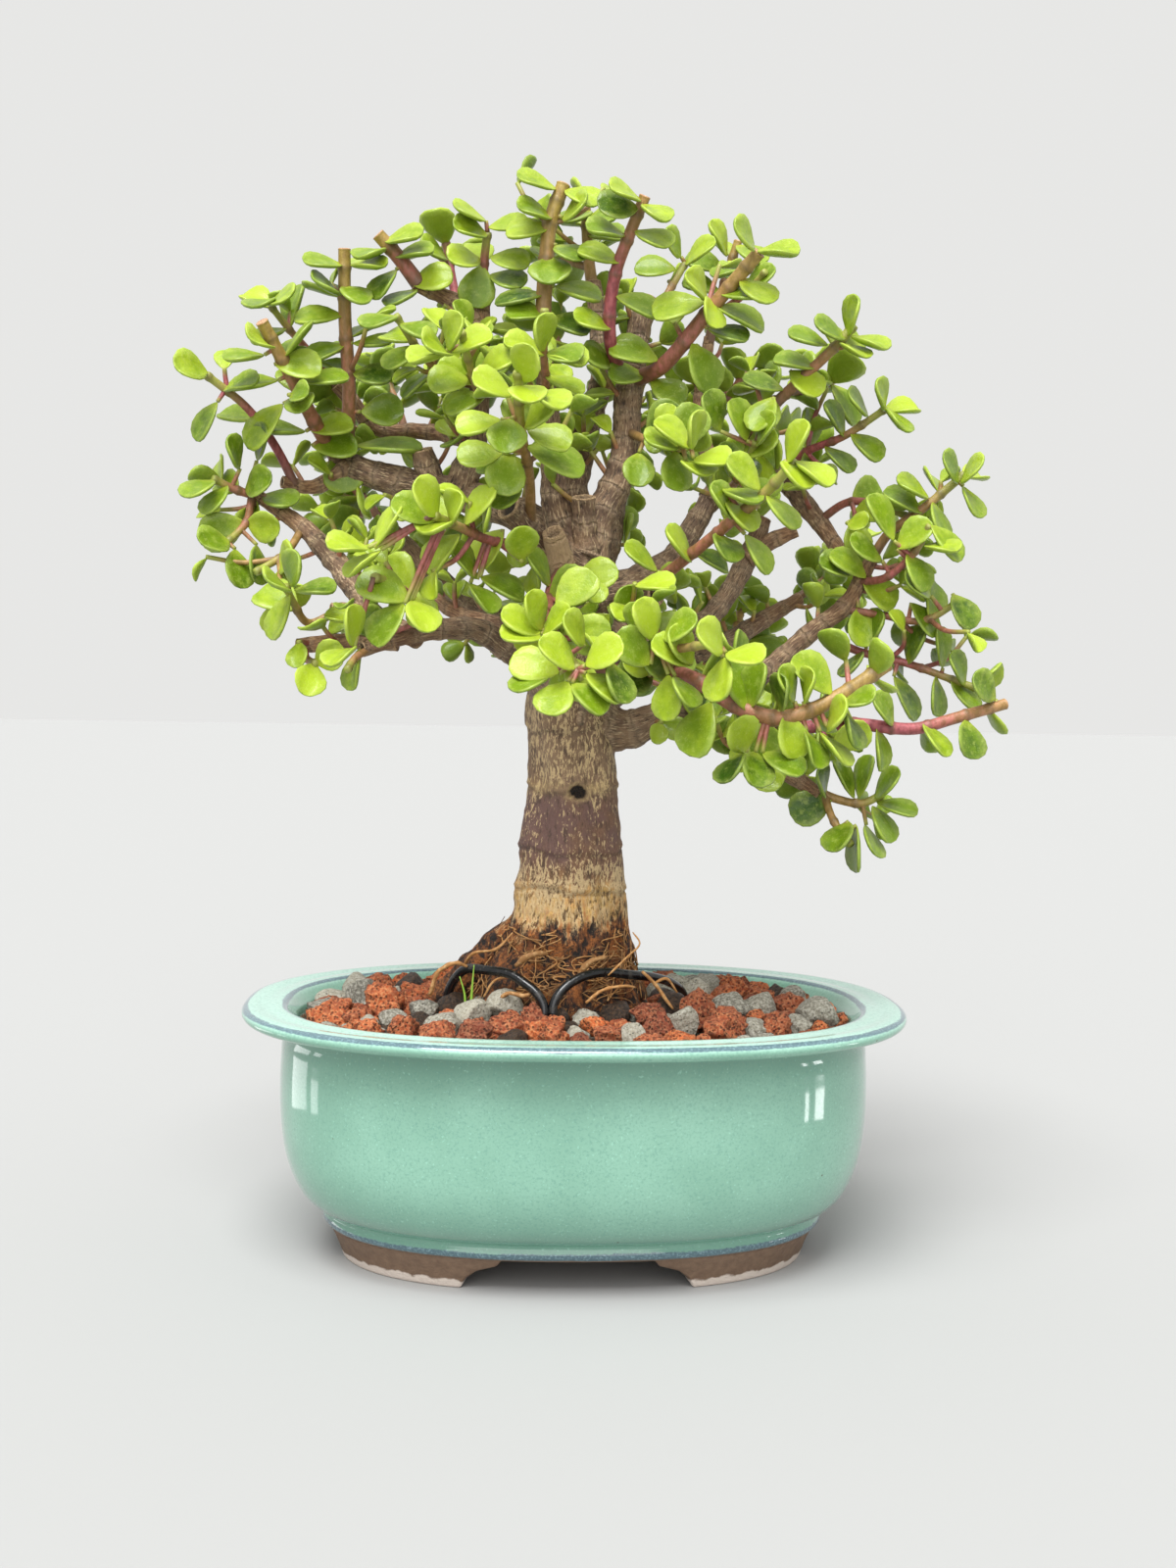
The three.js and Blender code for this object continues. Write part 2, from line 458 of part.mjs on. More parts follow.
// Each spray is one or more young stems. The first grows from the old wood, the others fork from it.
// A stem is [radius, tip, points]; tip is 'cut' for a pruned end and 'leafy' for a growing one.
const SPRAYS = {
  crown_peak: [[2.4, 'cut', [[-14, -6, 296], [-13, -7, 321], [-12, -7, 332], [-8, -7, 344]]]],
  crown_purple: [[1.9, 'cut', [[15, 8, 284], [8, -6, 295], [9, -14, 316], [13, -18, 327], [17, -21, 337]]]],
  crown_right: [[2.3, 'cut', [[17, 9, 286], [25, -8, 288], [38, -18, 303], [52, -28, 319]]]],
  crown_inner: [[1.4, 'leafy', [[19, 11, 308], [24, 19, 311], [30, 24, 320], [35, 27, 329]]]],
  crown_far: [[1.6, 'cut', [[45, 40, 305], [49, 38, 322], [54, 36, 339]]],
    [1.4, 'leafy', [[46, 39, 314], [56, 30, 320], [62, 22, 326]]]],
  crown_rosette: [[1.6, 'leafy', [[-33, 11, 311], [-33, 6, 322], [-32, 2, 331]]]],
  crown_back: [[1.8, 'cut', [[4, 34, 320], [2, 32, 334], [1, 30, 347]]],
    [1.4, 'leafy', [[3, 33, 328], [-6, 42, 333], [-12, 48, 337]]]],
  crown_red: [[1.4, 'cut', [[-41, 9, 306], [-44, 22, 321], [-47, 28, 338]]]],
  crown_left: [[2.3, 'cut', [[-54, 6, 314.5], [-61, 4, 323], [-67, 2, 329]]]],
  right_high: [[2, 'leafy', [[63.5, 9, 279], [74, 1, 289], [83, -4, 298], [87, -5, 303]]],
    [1.4, 'cut', [[68, 5, 283], [78, 16, 286], [88, 22, 291]]]],
  right_reach: [[1.5, 'leafy', [[71, 37, 258], [76, 20, 265], [87, 6, 269], [99, -2, 277]]]],
  right_tip: [[1.7, 'leafy', [[96, 5, 227], [101, 2, 236], [111, -2, 244], [125, -4, 256]]]],
  right_front: [[1.4, 'leafy', [[92, 8, 221], [100, -4, 222], [108, -12, 231], [111, -16, 238]]]],
  right_side: [[1.4, 'leafy', [[88, 10, 212], [100, 4, 210], [113, -2, 208], [123, -6, 214]]]],
  right_hanging: [[1.5, 'leafy', [[79, 12, 205], [94, 10, 198], [110, 6, 194], [123, 0, 189],
    [131, -4, 186]]]],
  right_deep: [[1.5, 'leafy', [[83, 30, 243], [92, 22, 249], [102, 14, 247], [110, 10, 243]]]],
  front_long: [[1.9, 'leafy', [[18, -22, 214], [29, -37, 223], [42, -53, 234], [52, -63, 243],
    [58, -69, 250]]]],
  front_rosette: [[1.6, 'leafy', [[-7, -18, 222], [-11, -34, 214], [-11, -52, 203], [-7, -68, 194],
    [-4, -78, 189]]],
    [1.3, 'leafy', [[-10, -28, 217], [-4, -38, 216], [-1, -48, 217]]]],
  front_drop: [[1.5, 'leafy', [[10, -15, 212], [12, -32, 210], [14, -48, 202], [19, -62, 199]]]],
  sweep_long: [[2.3, 'cut', [[4, -8, 188], [21, -42, 190], [31, -58, 187], [46, -68, 178], [54, -70, 176],
    [63, -70, 178], [73, -68, 183], [87, -64, 192]]],
    [1.5, 'leafy', [[18, -36, 190], [22, -58, 195], [28, -72, 196], [35, -82, 197]]]],
  sweep_low: [[1.9, 'cut', [[46, -5, 171], [65, -18, 172], [85, -24, 174], [107, -24, 173], [118, -22, 176],
    [136, -18, 181]]]],
  low_tip: [[1.6, 'leafy', [[77, -8, 152], [85, -9, 149], [92, -10, 148], [99, -10, 151]]],
    [1.4, 'leafy', [[80, -8, 151], [82, -14, 143], [87, -20, 135]]]],
  low_front: [[1.4, 'leafy', [[54, -6, 166], [50, -26, 163], [51, -40, 160]]]],
  left_upright: [[2.1, 'cut', [[-79, 23, 258], [-77, 12, 280], [-78, 6, 303], [-78, 2, 324]]]],
  left_leaning: [[2.2, 'cut', [[-82, 24, 260], [-88, 9, 270], [-95, -5, 284], [-102, -13, 297]]]],
  left_rear: [[1.4, 'leafy', [[-83, 36, 286], [-91, 24, 295], [-98, 16, 302], [-103, 12, 308]]]],
  left_inner: [[1.4, 'leafy', [[-34, 11, 283], [-46, -4, 284], [-54, -14, 291], [-60, -20, 299]]]],
  left_far: [[1.6, 'leafy', [[-95, 17, 250], [-101, 12, 262], [-109, 3, 273], [-121, -5, 282]]]],
  left_end: [[1.5, 'leafy', [[-105, 9, 245], [-113, 6, 247], [-120, 2, 250]]],
    [1.4, 'leafy', [[-108, 8, 245], [-109, 2, 236], [-114, -4, 229]]]],
  left_droop: [[1.4, 'leafy', [[-91, 5, 235], [-96, -6, 225], [-104, -12, 219]]]],
  left_stub_tip: [[1.4, 'leafy', [[-77, -19, 207], [-86, -22, 203], [-90, -28, 209], [-92, -32, 214]]]],
  left_under: [[1.4, 'leafy', [[-87, -22, 196], [-86, -28, 192], [-82, -34, 190]]]],
  left_hanging: [[1.3, 'leafy', [[-66, -32, 195], [-70, -38, 192], [-72, -43, 188]]]],
  left_front: [[1.6, 'leafy', [[-48, -22, 201], [-52, -40, 209], [-58, -52, 214], [-63, -60, 215]]]],
  left_bright: [[1.7, 'leafy', [[-14, -17, 230], [-28, -36, 228], [-39, -52, 231], [-46, -62, 233]]]],
  left_rosette: [[1.4, 'leafy', [[-34, 11, 281], [-34, -12, 277], [-36, -32, 280], [-39, -42, 290]]]],
  top_front: [[1.4, 'leafy', [[-13, -6, 280], [-13, -22, 279], [-14, -34, 287], [-14, -39, 298]]]],
  front_tall: [[1.7, 'leafy', [[-17, -20, 233], [-18, -38, 248], [-21, -54, 261], [-22, -66, 274]]]],
  centre_front: [[1.5, 'leafy', [[15, 8, 269], [21, -18, 262], [27, -36, 258], [31, -46, 258]]]],
  centre_right: [[1.5, 'leafy', [[48, 40, 257], [50, 16, 252], [52, -6, 256], [54, -18, 263]]]],
  centre_left: [[1.4, 'leafy', [[-52, 15, 216], [-62, 10, 226], [-71, 4, 229]]]],
  back_peak: [[1.7, 'cut', [[18, 73, 266], [22, 82, 284], [26, 84, 304]]],
    [1.4, 'leafy', [[20, 78, 276], [32, 88, 284], [40, 94, 292]]]],
  back_middle: [[1.5, 'leafy', [[12, 50, 237], [4, 72, 250], [-4, 88, 262], [-7, 96, 272]]],
    [1.4, 'leafy', [[6, 66, 247], [16, 84, 246], [24, 96, 250]]]],
  back_left_tip: [[1.6, 'cut', [[-67, 63, 241], [-80, 70, 256], [-90, 72, 274]]],
    [1.4, 'leafy', [[-73, 66, 248], [-86, 78, 246], [-95, 84, 250]]]],
  back_left_side: [[1.5, 'leafy', [[-52, 55, 227], [-54, 76, 230], [-58, 94, 234]]],
    [1.4, 'leafy', [[-53, 66, 229], [-46, 80, 242], [-42, 90, 252]]]],
  back_right_tip: [[1.6, 'leafy', [[81, 60, 218], [95, 64, 228], [105, 66, 242]]],
    [1.4, 'leafy', [[88, 62, 222], [98, 74, 220], [108, 82, 224]]]],
  back_right_side: [[1.5, 'cut', [[58, 51, 204], [62, 74, 210], [66, 92, 220]]],
    [1.4, 'leafy', [[60, 62, 207], [68, 76, 198], [74, 86, 192]]]],
  back_under: [[1.5, 'leafy', [[-14, 73, 189], [-16, 86, 197], [-18, 98, 208]]],
    [1.4, 'leafy', [[-15, 79, 192], [-9, 89, 187], [1, 97, 188]]]],
  back_low_right: [[1.5, 'leafy', [[22, 28, 188], [24, 56, 190], [24, 82, 198], [22, 94, 208]]]],
  back_high_left: [[1.5, 'leafy', [[-60, 39, 272], [-64, 54, 284], [-70, 64, 298]]],
    [1.4, 'leafy', [[-62, 46, 278], [-76, 58, 280], [-86, 64, 284]]]],
  back_high: [[1.5, 'leafy', [[6, 30, 296], [-8, 50, 306], [-18, 62, 318]]],
    [1.4, 'leafy', [[-4, 44, 303], [-22, 50, 296], [-34, 56, 298]]]],
  back_high_right: [[1.5, 'cut', [[44, 42, 282], [56, 56, 292], [66, 66, 306]]],
    [1.4, 'leafy', [[51, 50, 288], [64, 52, 286], [76, 52, 290]]]],
};
const STEM_TIP = 0.8; // radius at a tip, share of the stem's own radius
const SQUARE = 0.86; // half side of a stem's square section, share of its radius
const NODE_HALF = 0.8; // half the height of a leaf's root on the stem
const START_STUB = 1; // length of stem that has to be clear of the old wood where it starts
const START_STEP = 0.1;
const FACET_TURN = [Math.PI / 2, Math.PI, -Math.PI / 2, 0];

// Tries in turn for a leaf that finds its place taken: a turn about the stem, a change of rise, a size.
const TRIES = [
  [0, 0, 1], [0.35, 0.1, 1], [-0.35, 0.1, 1], [0.5, -0.3, 0.92], [-0.5, -0.3, 0.92], [0.1, 0.45, 0.85],
  [-0.1, -0.55, 0.8], [0.6, 0.2, 0.75], [-0.6, 0.2, 0.75],
];

// Leaf outline as shares of length along and of width across, up one side, over the tip and down the other.
const RIM = [[0.3, -0.34], [0.72, -0.5], [1, -0.06], [0.72, 0.5], [0.3, 0.34]];
const RIM_TIP = 2; // which of them is the tip
const BALLS = [[0.3, 0], [0.62, 0.27], [0.62, -0.27], [0.88, 0.1], [0.88, -0.1]];

// The straight stretches of a stem, each with its direction and two sides. The sides are carried over
// each bend unturned, so the leaves stay in four rows.
function stretchesOf(points, phase) {
  const stretches = [];
  let from = 0;
  let side = null;
  for (let i = 0; i + 1 < points.length; i += 1) {
    const start = vec(points[i]);
    const ahead = vec(points[i + 1]).sub(start);
    const length = ahead.length();
    ahead.divideScalar(length);
    if (side) {
      side = side.clone().addScaledVector(ahead, -side.dot(ahead)).normalize();
    } else {
      const level = Math.abs(ahead.z) > 0.92 ? new THREE.Vector3(1, 0, 0) : new THREE.Vector3(0, 0, 1);
      const across = ahead.clone().cross(level).normalize();
      side = across.clone().multiplyScalar(Math.cos(phase));
      side.addScaledVector(ahead.clone().cross(across), Math.sin(phase));
    }
    stretches.push({ from, length, start, ahead, side, up: ahead.clone().cross(side) });
    from += length;
  }
  return stretches;
}

function placeOn(stretches, distance) {
  const on = stretches.findLast((stretch) => stretch.from <= distance) ?? stretches[0];
  return { ...on, at: on.start.clone().addScaledVector(on.ahead, distance - on.from) };
}

const lengthOf = (stretches) => stretches.at(-1).from + stretches.at(-1).length;

// Clearance is kept between balls: wood and stems are rows of them, and a leaf has five.
const taken = [];
const BALL_STEP = 3;

function rowOfBalls(points, radiusAt, owner) {
  const stretches = stretchesOf(points, 0);
  const total = lengthOf(stretches);
  const balls = [];
  for (let s = 0; s <= total; s += BALL_STEP) {
    balls.push({ centre: placeOn(stretches, s).at, radius: radiusAt(s / total), owner, soft: false });
  }
  return balls;
}

function takeWood() {
  for (const points of Object.values(LIMBS)) {
    const first = points[0][3];
    const last = points.at(-1)[3];
    taken.push(...rowOfBalls(points, (share) => mix(first, last, share), 'wood'));
  }
  for (const [z, x, y, halfWidth] of TRUNK) {
    taken.push({ centre: new THREE.Vector3(x, y, z), radius: halfWidth, owner: 'wood', soft: false });
  }
}

function takeStems() {
  for (const [name, stems] of Object.entries(SPRAYS)) {
    for (const [radius, , points] of stems) {
      taken.push(...rowOfBalls(points, () => radius, name).slice(2));
    }
  }
}

// Where a leaf is: its root on the stem's axis, the directions along, across and out of its upper face.
function leafFrame(place, facet, turn, rise, length) {
  const azimuth = FACET_TURN[facet] + turn;
  const t = place.ahead;
  const outward = place.side.clone().multiplyScalar(Math.cos(azimuth));
  outward.addScaledVector(place.up, Math.sin(azimuth));
  const ahead = outward.clone().multiplyScalar(Math.cos(rise)).addScaledVector(t, Math.sin(rise));
  const away = place.at.clone().sub(vec(GROWTH_CENTRE)).normalize();
  const face = t.clone().multiplyScalar(Math.cos(rise)).addScaledVector(outward, -Math.sin(rise));
  face.z += LEAF.towardsLight;
  face.addScaledVector(away, LEAF.awayFromCrown).addScaledVector(ahead, -face.dot(ahead)).normalize();
  return { root: place.at, ahead, face, across: face.clone().cross(ahead), length };
}

function leafPoint(leaf, alongShare, acrossShare, height) {
  return leaf.root.clone()
    .addScaledVector(leaf.ahead, alongShare * leaf.length)
    .addScaledVector(leaf.across, acrossShare * leaf.length * LEAF.width)
    .addScaledVector(leaf.face, height);
}

function ballsOf(leaf, owner) {
  return BALLS.map(([u, v]) => ({
    centre: leafPoint(leaf, u, v, -0.8), radius: LEAF.ball * leaf.length, owner, soft: true,
  }));
}

function isClear(balls, owner) {
  return balls.every((ball, i) => taken.every((other) => {
    const own = other.owner === owner;
    if (own && (!other.soft || i === 0)) return true;
    const reach = (ball.radius + other.radius) * (own ? LEAF.ownRoom : LEAF.room);
    return ball.centre.distanceToSquared(other.centre) > reach * reach;
  }));
}

// Crossed pairs of leaves from the tip down to the bare foot of the stem. Each node of the stem is
// { distance, leaves }, with its leaves by the facet of the stem that they grow from.
function nodesOf(name, sprayKey, stemKey, [, tip, points]) {
  const stretches = stretchesOf(points, 2 * Math.PI * draw(sprayKey, stemKey, 9));
  const total = lengthOf(stretches);
  const bare = stemKey === 0 ? Math.min(0.34 * total, 20) : 5;
  const nodes = [];
  let distance = total - (tip === 'cut' ? 5.5 : 1.2);
  for (let pair = 0; distance > bare; pair += 1) {
    const leaves = {};
    const place = placeOn(stretches, distance);
    const young = tip === 'leafy' && pair === 0;
    const age = Math.min(pair / 3, 1);
    for (const half of [0, 1]) {
      const facet = (pair % 2) + 2 * half;
      const key = sprayKey * 40 + stemKey * 20 + pair;
      const turn = mix(-0.3, 0.3, draw(key, half, 1));
      const upright = tip === 'cut' ? 0.28 : 0.48;
      const rise = mix(young ? 0.7 : upright, 0.2, age) + mix(-0.15, 0.2, draw(key, half, 2));
      const length = LEAF.length * (young ? 0.8 : 1) * mix(0.84, 1.12, draw(key, half, 3));
      for (const [moreTurn, lift, size] of TRIES) {
        const leaf = leafFrame(place, facet, turn + moreTurn, rise + lift, length * size);
        const balls = ballsOf(leaf, name);
        if (isClear(balls, name)) {
          taken.push(...balls);
          leaves[facet] = leaf;
          break;
        }
      }
    }
    nodes.push({ distance, leaves });
    const spacing = (pair === 0 ? 0.7 : 1) * mix(0.9, 1.15, draw(sprayKey, stemKey, pair + 20));
    distance -= LEAF.internode * spacing;
  }
  return { stretches, total, nodes: nodes.reverse() };
}

// The four corners of a stem's square section at a distance along it.
function cornersAt({ stretches, total }, radius, distance) {
  const place = placeOn(stretches, distance);
  const corner = radius * mix(1, STEM_TIP, distance / total) * SQUARE;
  return [[1, 1], [-1, 1], [-1, -1], [1, -1]].map(([side, up]) => place.at.clone()
    .addScaledVector(place.side, side * corner)
    .addScaledVector(place.up, up * corner));
}

// The first section of a young stem that stands clear of the old wood it grows from.
function startOf(shape, radius) {
  const isBuried = (distance) => {
    const stub = loft([cornersAt(shape, radius, distance), cornersAt(shape, radius, distance + START_STUB)]);
    return !stub.intersect(woodRoom).isEmpty();
  };
  let distance = 0;
  while (isBuried(distance)) distance += START_STEP;
  return distance;
}

// The square rings of a stem: one at each end and bend, and one each side of every node.
function ringsOf(shape, radius, start) {
  const { stretches, total, nodes } = shape;
  const marks = stretches.map((stretch) => ({ distance: stretch.from }))
    .filter((mark) => mark.distance > start + 1)
    .filter((mark) => nodes.every((node) => Math.abs(node.distance - mark.distance) > 2.5 * NODE_HALF));
  for (const node of nodes) {
    marks.push({ distance: node.distance - NODE_HALF, leaves: node.leaves });
    marks.push({ distance: node.distance + NODE_HALF });
  }
  marks.push({ distance: start }, { distance: total });
  marks.sort((a, b) => a.distance - b.distance);
  return marks.map(({ distance, leaves = {} }) => ({ points: cornersAt(shape, radius, distance), leaves }));
}

// One young stem with its leaves as a single skin. A leaf grows out of the facet of the stem at its
// node: it has a flat upper face folded along the middle, and one point under it gives it its belly.
function leafyStem(shape, radius, start) {
  const rings = ringsOf(shape, radius, start);
  const positions = rings.flatMap((ring) => ring.points.flatMap((p) => [p.x, p.y, p.z]));
  const index = [];
  const add = (p) => positions.push(p.x, p.y, p.z) / 3 - 1;
  for (let i = 0; i + 1 < rings.length; i += 1) {
    for (let facet = 0; facet < 4; facet += 1) {
      const a = i * 4 + facet;
      const b = i * 4 + ((facet + 1) % 4);
      const leaf = rings[i].leaves[facet];
      if (!leaf) {
        index.push(a, b, b + 4, a, b + 4, a + 4);
        continue;
      }
      const height = (u, v) => LEAF.cup * Math.abs(v) - LEAF.droop * u * u;
      const rim = RIM.map(([u, v]) => add(leafPoint(leaf, u, v, height(u, v))));
      const tip = rim[RIM_TIP];
      const under = add(leafPoint(leaf, 0.52, 0, -LEAF.belly));
      const upper = [a + 4, ...rim, b + 4];
      const lower = [b, ...rim.toReversed(), a];
      for (let k = 0; k + 1 < upper.length; k += 1) {
        if (upper[k] !== tip && upper[k + 1] !== tip) index.push(tip, upper[k], upper[k + 1]);
      }
      index.push(tip, b + 4, a + 4);
      for (let k = 0; k < lower.length; k += 1) index.push(under, lower[k], lower[(k + 1) % lower.length]);
      index.push(b, b + 4, rim.at(-1), rim[0], a + 4, a);
    }
  }
  const last = (rings.length - 1) * 4;
  index.push(0, 2, 1, 0, 3, 2, last, last + 1, last + 2, last, last + 2, last + 3);
  return toSolid(positions, index);
}

// ---------------------------------------------------------------- assembly

const wood = makeWood(0);
const woodRoom = makeWood(CLEARANCE);
const tieRoom = bothTies(CLEARANCE);

addNode('pot', makePot(), celadonGlaze);
addNode('drain_screen_left', makeScreen(-DRAIN.spacing / 2), screenPlastic);
addNode('drain_screen_right', makeScreen(DRAIN.spacing / 2), screenPlastic);
addNode('soil', makeSoil(woodRoom, tieRoom), soilBrown);
addNode('gravel', makeGravel(woodRoom, tieRoom), lavaGravel);
addNode('trunk', wood, bark);
for (const [name, points] of Object.entries(TIES)) {
  addNode(name, tieTube(points, 0), blackTubing);
}

takeWood();
takeStems();
Object.entries(SPRAYS).forEach(([name, stems], sprayKey) => {
  const solids = stems.map((one, stemKey) => {
    const shape = nodesOf(name, sprayKey, stemKey, one);
    return leafyStem(shape, one[0], stemKey === 0 ? startOf(shape, one[0]) : 0);
  });
  addNode(`spray_${name}`, largestBody(unite(solids).subtract(woodRoom)), leafGreen);
});

const bounds = new THREE.Box3().setFromObject(group);
group.position.set(-(bounds.min.x + bounds.max.x) / 2, -(bounds.min.y + bounds.max.y) / 2, 0);

export default group;
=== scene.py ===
"""Looks of a dwarf jade bonsai in its oval glazed pot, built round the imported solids.

Shapes are worked out in millimetres round the pot's centre line, with the feet on z = 0, and put in
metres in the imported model's frame when a piece is made. +X is right, +Y is back and +Z is up.
"""

import math

import bpy
import numpy as np
from mathutils import Matrix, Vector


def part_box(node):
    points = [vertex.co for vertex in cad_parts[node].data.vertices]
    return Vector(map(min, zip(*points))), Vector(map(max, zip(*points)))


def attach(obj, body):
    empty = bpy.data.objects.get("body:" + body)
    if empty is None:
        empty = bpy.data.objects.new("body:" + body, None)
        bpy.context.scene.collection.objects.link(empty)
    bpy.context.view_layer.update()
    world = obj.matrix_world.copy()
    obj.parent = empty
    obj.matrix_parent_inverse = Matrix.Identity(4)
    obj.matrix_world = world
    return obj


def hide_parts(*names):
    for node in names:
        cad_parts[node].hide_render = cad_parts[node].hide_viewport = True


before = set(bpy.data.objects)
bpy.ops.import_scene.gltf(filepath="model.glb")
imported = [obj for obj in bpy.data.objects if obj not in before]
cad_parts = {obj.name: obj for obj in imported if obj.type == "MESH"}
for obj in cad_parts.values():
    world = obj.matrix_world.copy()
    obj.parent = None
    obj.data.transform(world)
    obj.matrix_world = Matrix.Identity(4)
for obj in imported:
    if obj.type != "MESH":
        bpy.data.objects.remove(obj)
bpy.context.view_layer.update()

MM = 0.001
pot_low, pot_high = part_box("pot")
POT_CENTRE = np.array([(pot_low.x + pot_high.x) / 2, (pot_low.y + pot_high.y) / 2, 0.0])

# ---------------- camera, light and floor

FRAME_WIDTH, FRAME_HEIGHT = 1200, 1600  # pixels
FOCAL_PIXELS = 1750
SENSOR_WIDTH = 36
CAMERA_PLACE = np.array([-25.13, -562.74, 181.91])
CAMERA_YAW, CAMERA_PITCH, CAMERA_ROLL = 0.0504, 0.0519, -0.0155  # radians: right, down, anticlockwise
CAMERA_CLIP = 0.01, 50  # nearest and farthest, in metres

# Suns: [name, direction they shine from, strength, width as an angle].
SUNS = [
    ["top_light", [-0.15, -0.5, 1], 4.3, 0.6],
    ["front_light", [-0.1, -1, 0.4], 1.3, 0.9],
]
# Low lamps: [name, place, what they face, width, height, watts], in millimetres.
WINDOWS = [
    ["left_window", [-281, 62, 15], [-85, -38, 58], 86, 40, 0.026],
    ["left_window_edge", [-300, -14, 12], [-80, -44, 58], 30, 34, 0.01],
    ["right_window", [288, -78, 14], [72, -52, 58], 30, 32, 0.024],
    ["right_window_edge", [278, -118, 14], [66, -55, 58], 12, 32, 0.01],
]
SKY_COLOUR, SKY_STRENGTH = (1.0, 1.0, 0.985, 1), 0.8
FLOOR_COLOUR = (0.38, 0.382, 0.378, 1)
FLOOR_REACH = 9  # metres from the middle to each side


def camera_axes():
    """Right, down and forward. Forward is the yaw and pitch as a unit vector, right is its level normal,
    and both right and down are then turned by the roll."""
    forward = np.array([
        math.sin(CAMERA_YAW) * math.cos(CAMERA_PITCH),
        math.cos(CAMERA_YAW) * math.cos(CAMERA_PITCH),
        -math.sin(CAMERA_PITCH),
    ])
    level = unit(np.cross(forward, [0, 0, 1]))
    below = np.cross(forward, level)
    right = math.cos(CAMERA_ROLL) * level + math.sin(CAMERA_ROLL) * below
    down = -math.sin(CAMERA_ROLL) * level + math.cos(CAMERA_ROLL) * below
    return np.array([right, down, forward])


def in_frame(points):
    """Where the camera sees points in millimetres: pixels across, pixels down and distance."""
    across, down, away = np.moveaxis((np.asarray(points) - CAMERA_PLACE) @ camera_axes().T, -1, 0)
    return np.stack([FRAME_WIDTH / 2 + FOCAL_PIXELS * across / away,
                     FRAME_HEIGHT / 2 + FOCAL_PIXELS * down / away, away], axis=-1)


def from_frame(pixel_x, pixel_y, depth):
    """The point in millimetres at this pixel whose y is the depth."""
    ray = np.array([pixel_x - FRAME_WIDTH / 2, pixel_y - FRAME_HEIGHT / 2, FOCAL_PIXELS]) @ camera_axes()
    return CAMERA_PLACE + ray * (depth - CAMERA_PLACE[1]) / ray[1]


def add_object(name, data):
    added = bpy.data.objects.new(name, data)
    bpy.context.scene.collection.objects.link(added)
    return added


def set_up(thing, right, up, back, place):
    """Puts a camera or lamp at a place in metres, so that it looks or shines away from its back."""
    matrix = np.eye(4)
    matrix[:3] = np.stack([right, up, back, place], axis=1)
    thing.matrix_world = Matrix(matrix.tolist())


def make_camera():
    right, down, forward = camera_axes()
    camera = add_object("camera", bpy.data.cameras.new("camera"))
    camera.data.sensor_width = SENSOR_WIDTH
    camera.data.lens = SENSOR_WIDTH * FOCAL_PIXELS / FRAME_HEIGHT
    camera.data.clip_start, camera.data.clip_end = CAMERA_CLIP
    set_up(camera, right, -down, -forward, CAMERA_PLACE * MM + POT_CENTRE)
    bpy.context.scene.camera = camera


def make_lamp(name, kind, back, place, level, **settings):
    """A lamp that shines away from its back. Its sides lie square to the back and the level direction."""
    lamp = add_object(name, bpy.data.lights.new(name, kind))
    for key, value in settings.items():
        setattr(lamp.data, key, value)
    back = unit(np.array(back, float))
    side = unit(np.cross(level, back))
    set_up(lamp, side, np.cross(back, side), back, place)
    return lamp


def make_light(glazed):
    """A broad sun overhead and a weaker one in front, two small low lamps at each end of the pot, which
    only its glaze mirrors, like windows, and a pale sky all round."""
    for name, source, strength, spread in SUNS:
        make_lamp(name, "SUN", source, [0, 0, 0], [0, 1, 0], energy=strength, angle=spread)
    for name, place, target, width, height, power in WINDOWS:
        place, target = np.array(place) * MM, np.array(target) * MM
        lamp = make_lamp(name, "AREA", place - target, place, [0, 0, 1], shape="RECTANGLE",
                         size=width * MM, size_y=height * MM, energy=power)
        lamp.visible_camera = False
        lamp.light_linking.receiver_collection = glazed
    world = bpy.context.scene.world or bpy.data.worlds.new("sky")
    bpy.context.scene.world = world
    world.use_nodes = True
    sky = world.node_tree.nodes["Background"]
    sky.inputs["Color"].default_value = SKY_COLOUR
    sky.inputs["Strength"].default_value = SKY_STRENGTH
    bpy.context.scene.view_settings.view_transform = "Standard"


def make_floor():
    corners = [(-FLOOR_REACH, -FLOOR_REACH, 0), (FLOOR_REACH, -FLOOR_REACH, 0),
               (FLOOR_REACH, FLOOR_REACH, 0), (-FLOOR_REACH, FLOOR_REACH, 0)]
    floor = bpy.data.meshes.new("floor")
    floor.from_pydata(corners, [], [(0, 1, 2, 3)])
    floor.materials.append(pale_floor())
    add_object("floor", floor)


# ---------------- shader maths


class Wire:
    """A number socket. Python's operators on it add one Math node each."""

    def __init__(self, finish, socket):
        self.finish = finish
        self.socket = socket

    def _math(self, operation, *values):
        return self.finish.node("ShaderNodeMath", {"operation": operation}, dict(enumerate(values)))

    def __add__(self, other):
        return self._math("ADD", self, other)

    def __radd__(self, other):
        return self._math("ADD", other, self)

    def __sub__(self, other):
        return self._math("SUBTRACT", self, other)

    def __rsub__(self, other):
        return self._math("SUBTRACT", other, self)

    def __mul__(self, other):
        return self._math("MULTIPLY", self, other)

    def __rmul__(self, other):
        return self._math("MULTIPLY", other, self)

    def larger(self, other):
        return self._math("MAXIMUM", self, other)

    def from_line(self):
        """Distance to the nearest whole number, 0 to 0.5."""
        share = self._math("FRACT", self)
        return self._math("MINIMUM", share, 1 - share)

    def ramp(self, low, high):
        """0 below low, 1 above high, and a smooth step between them. High may be the lower one."""
        settings = {"interpolation_type": "SMOOTHSTEP"}
        return self.finish.node("ShaderNodeMapRange", settings, {0: self, 1: low, 2: high, 3: 0.0, 4: 1.0})


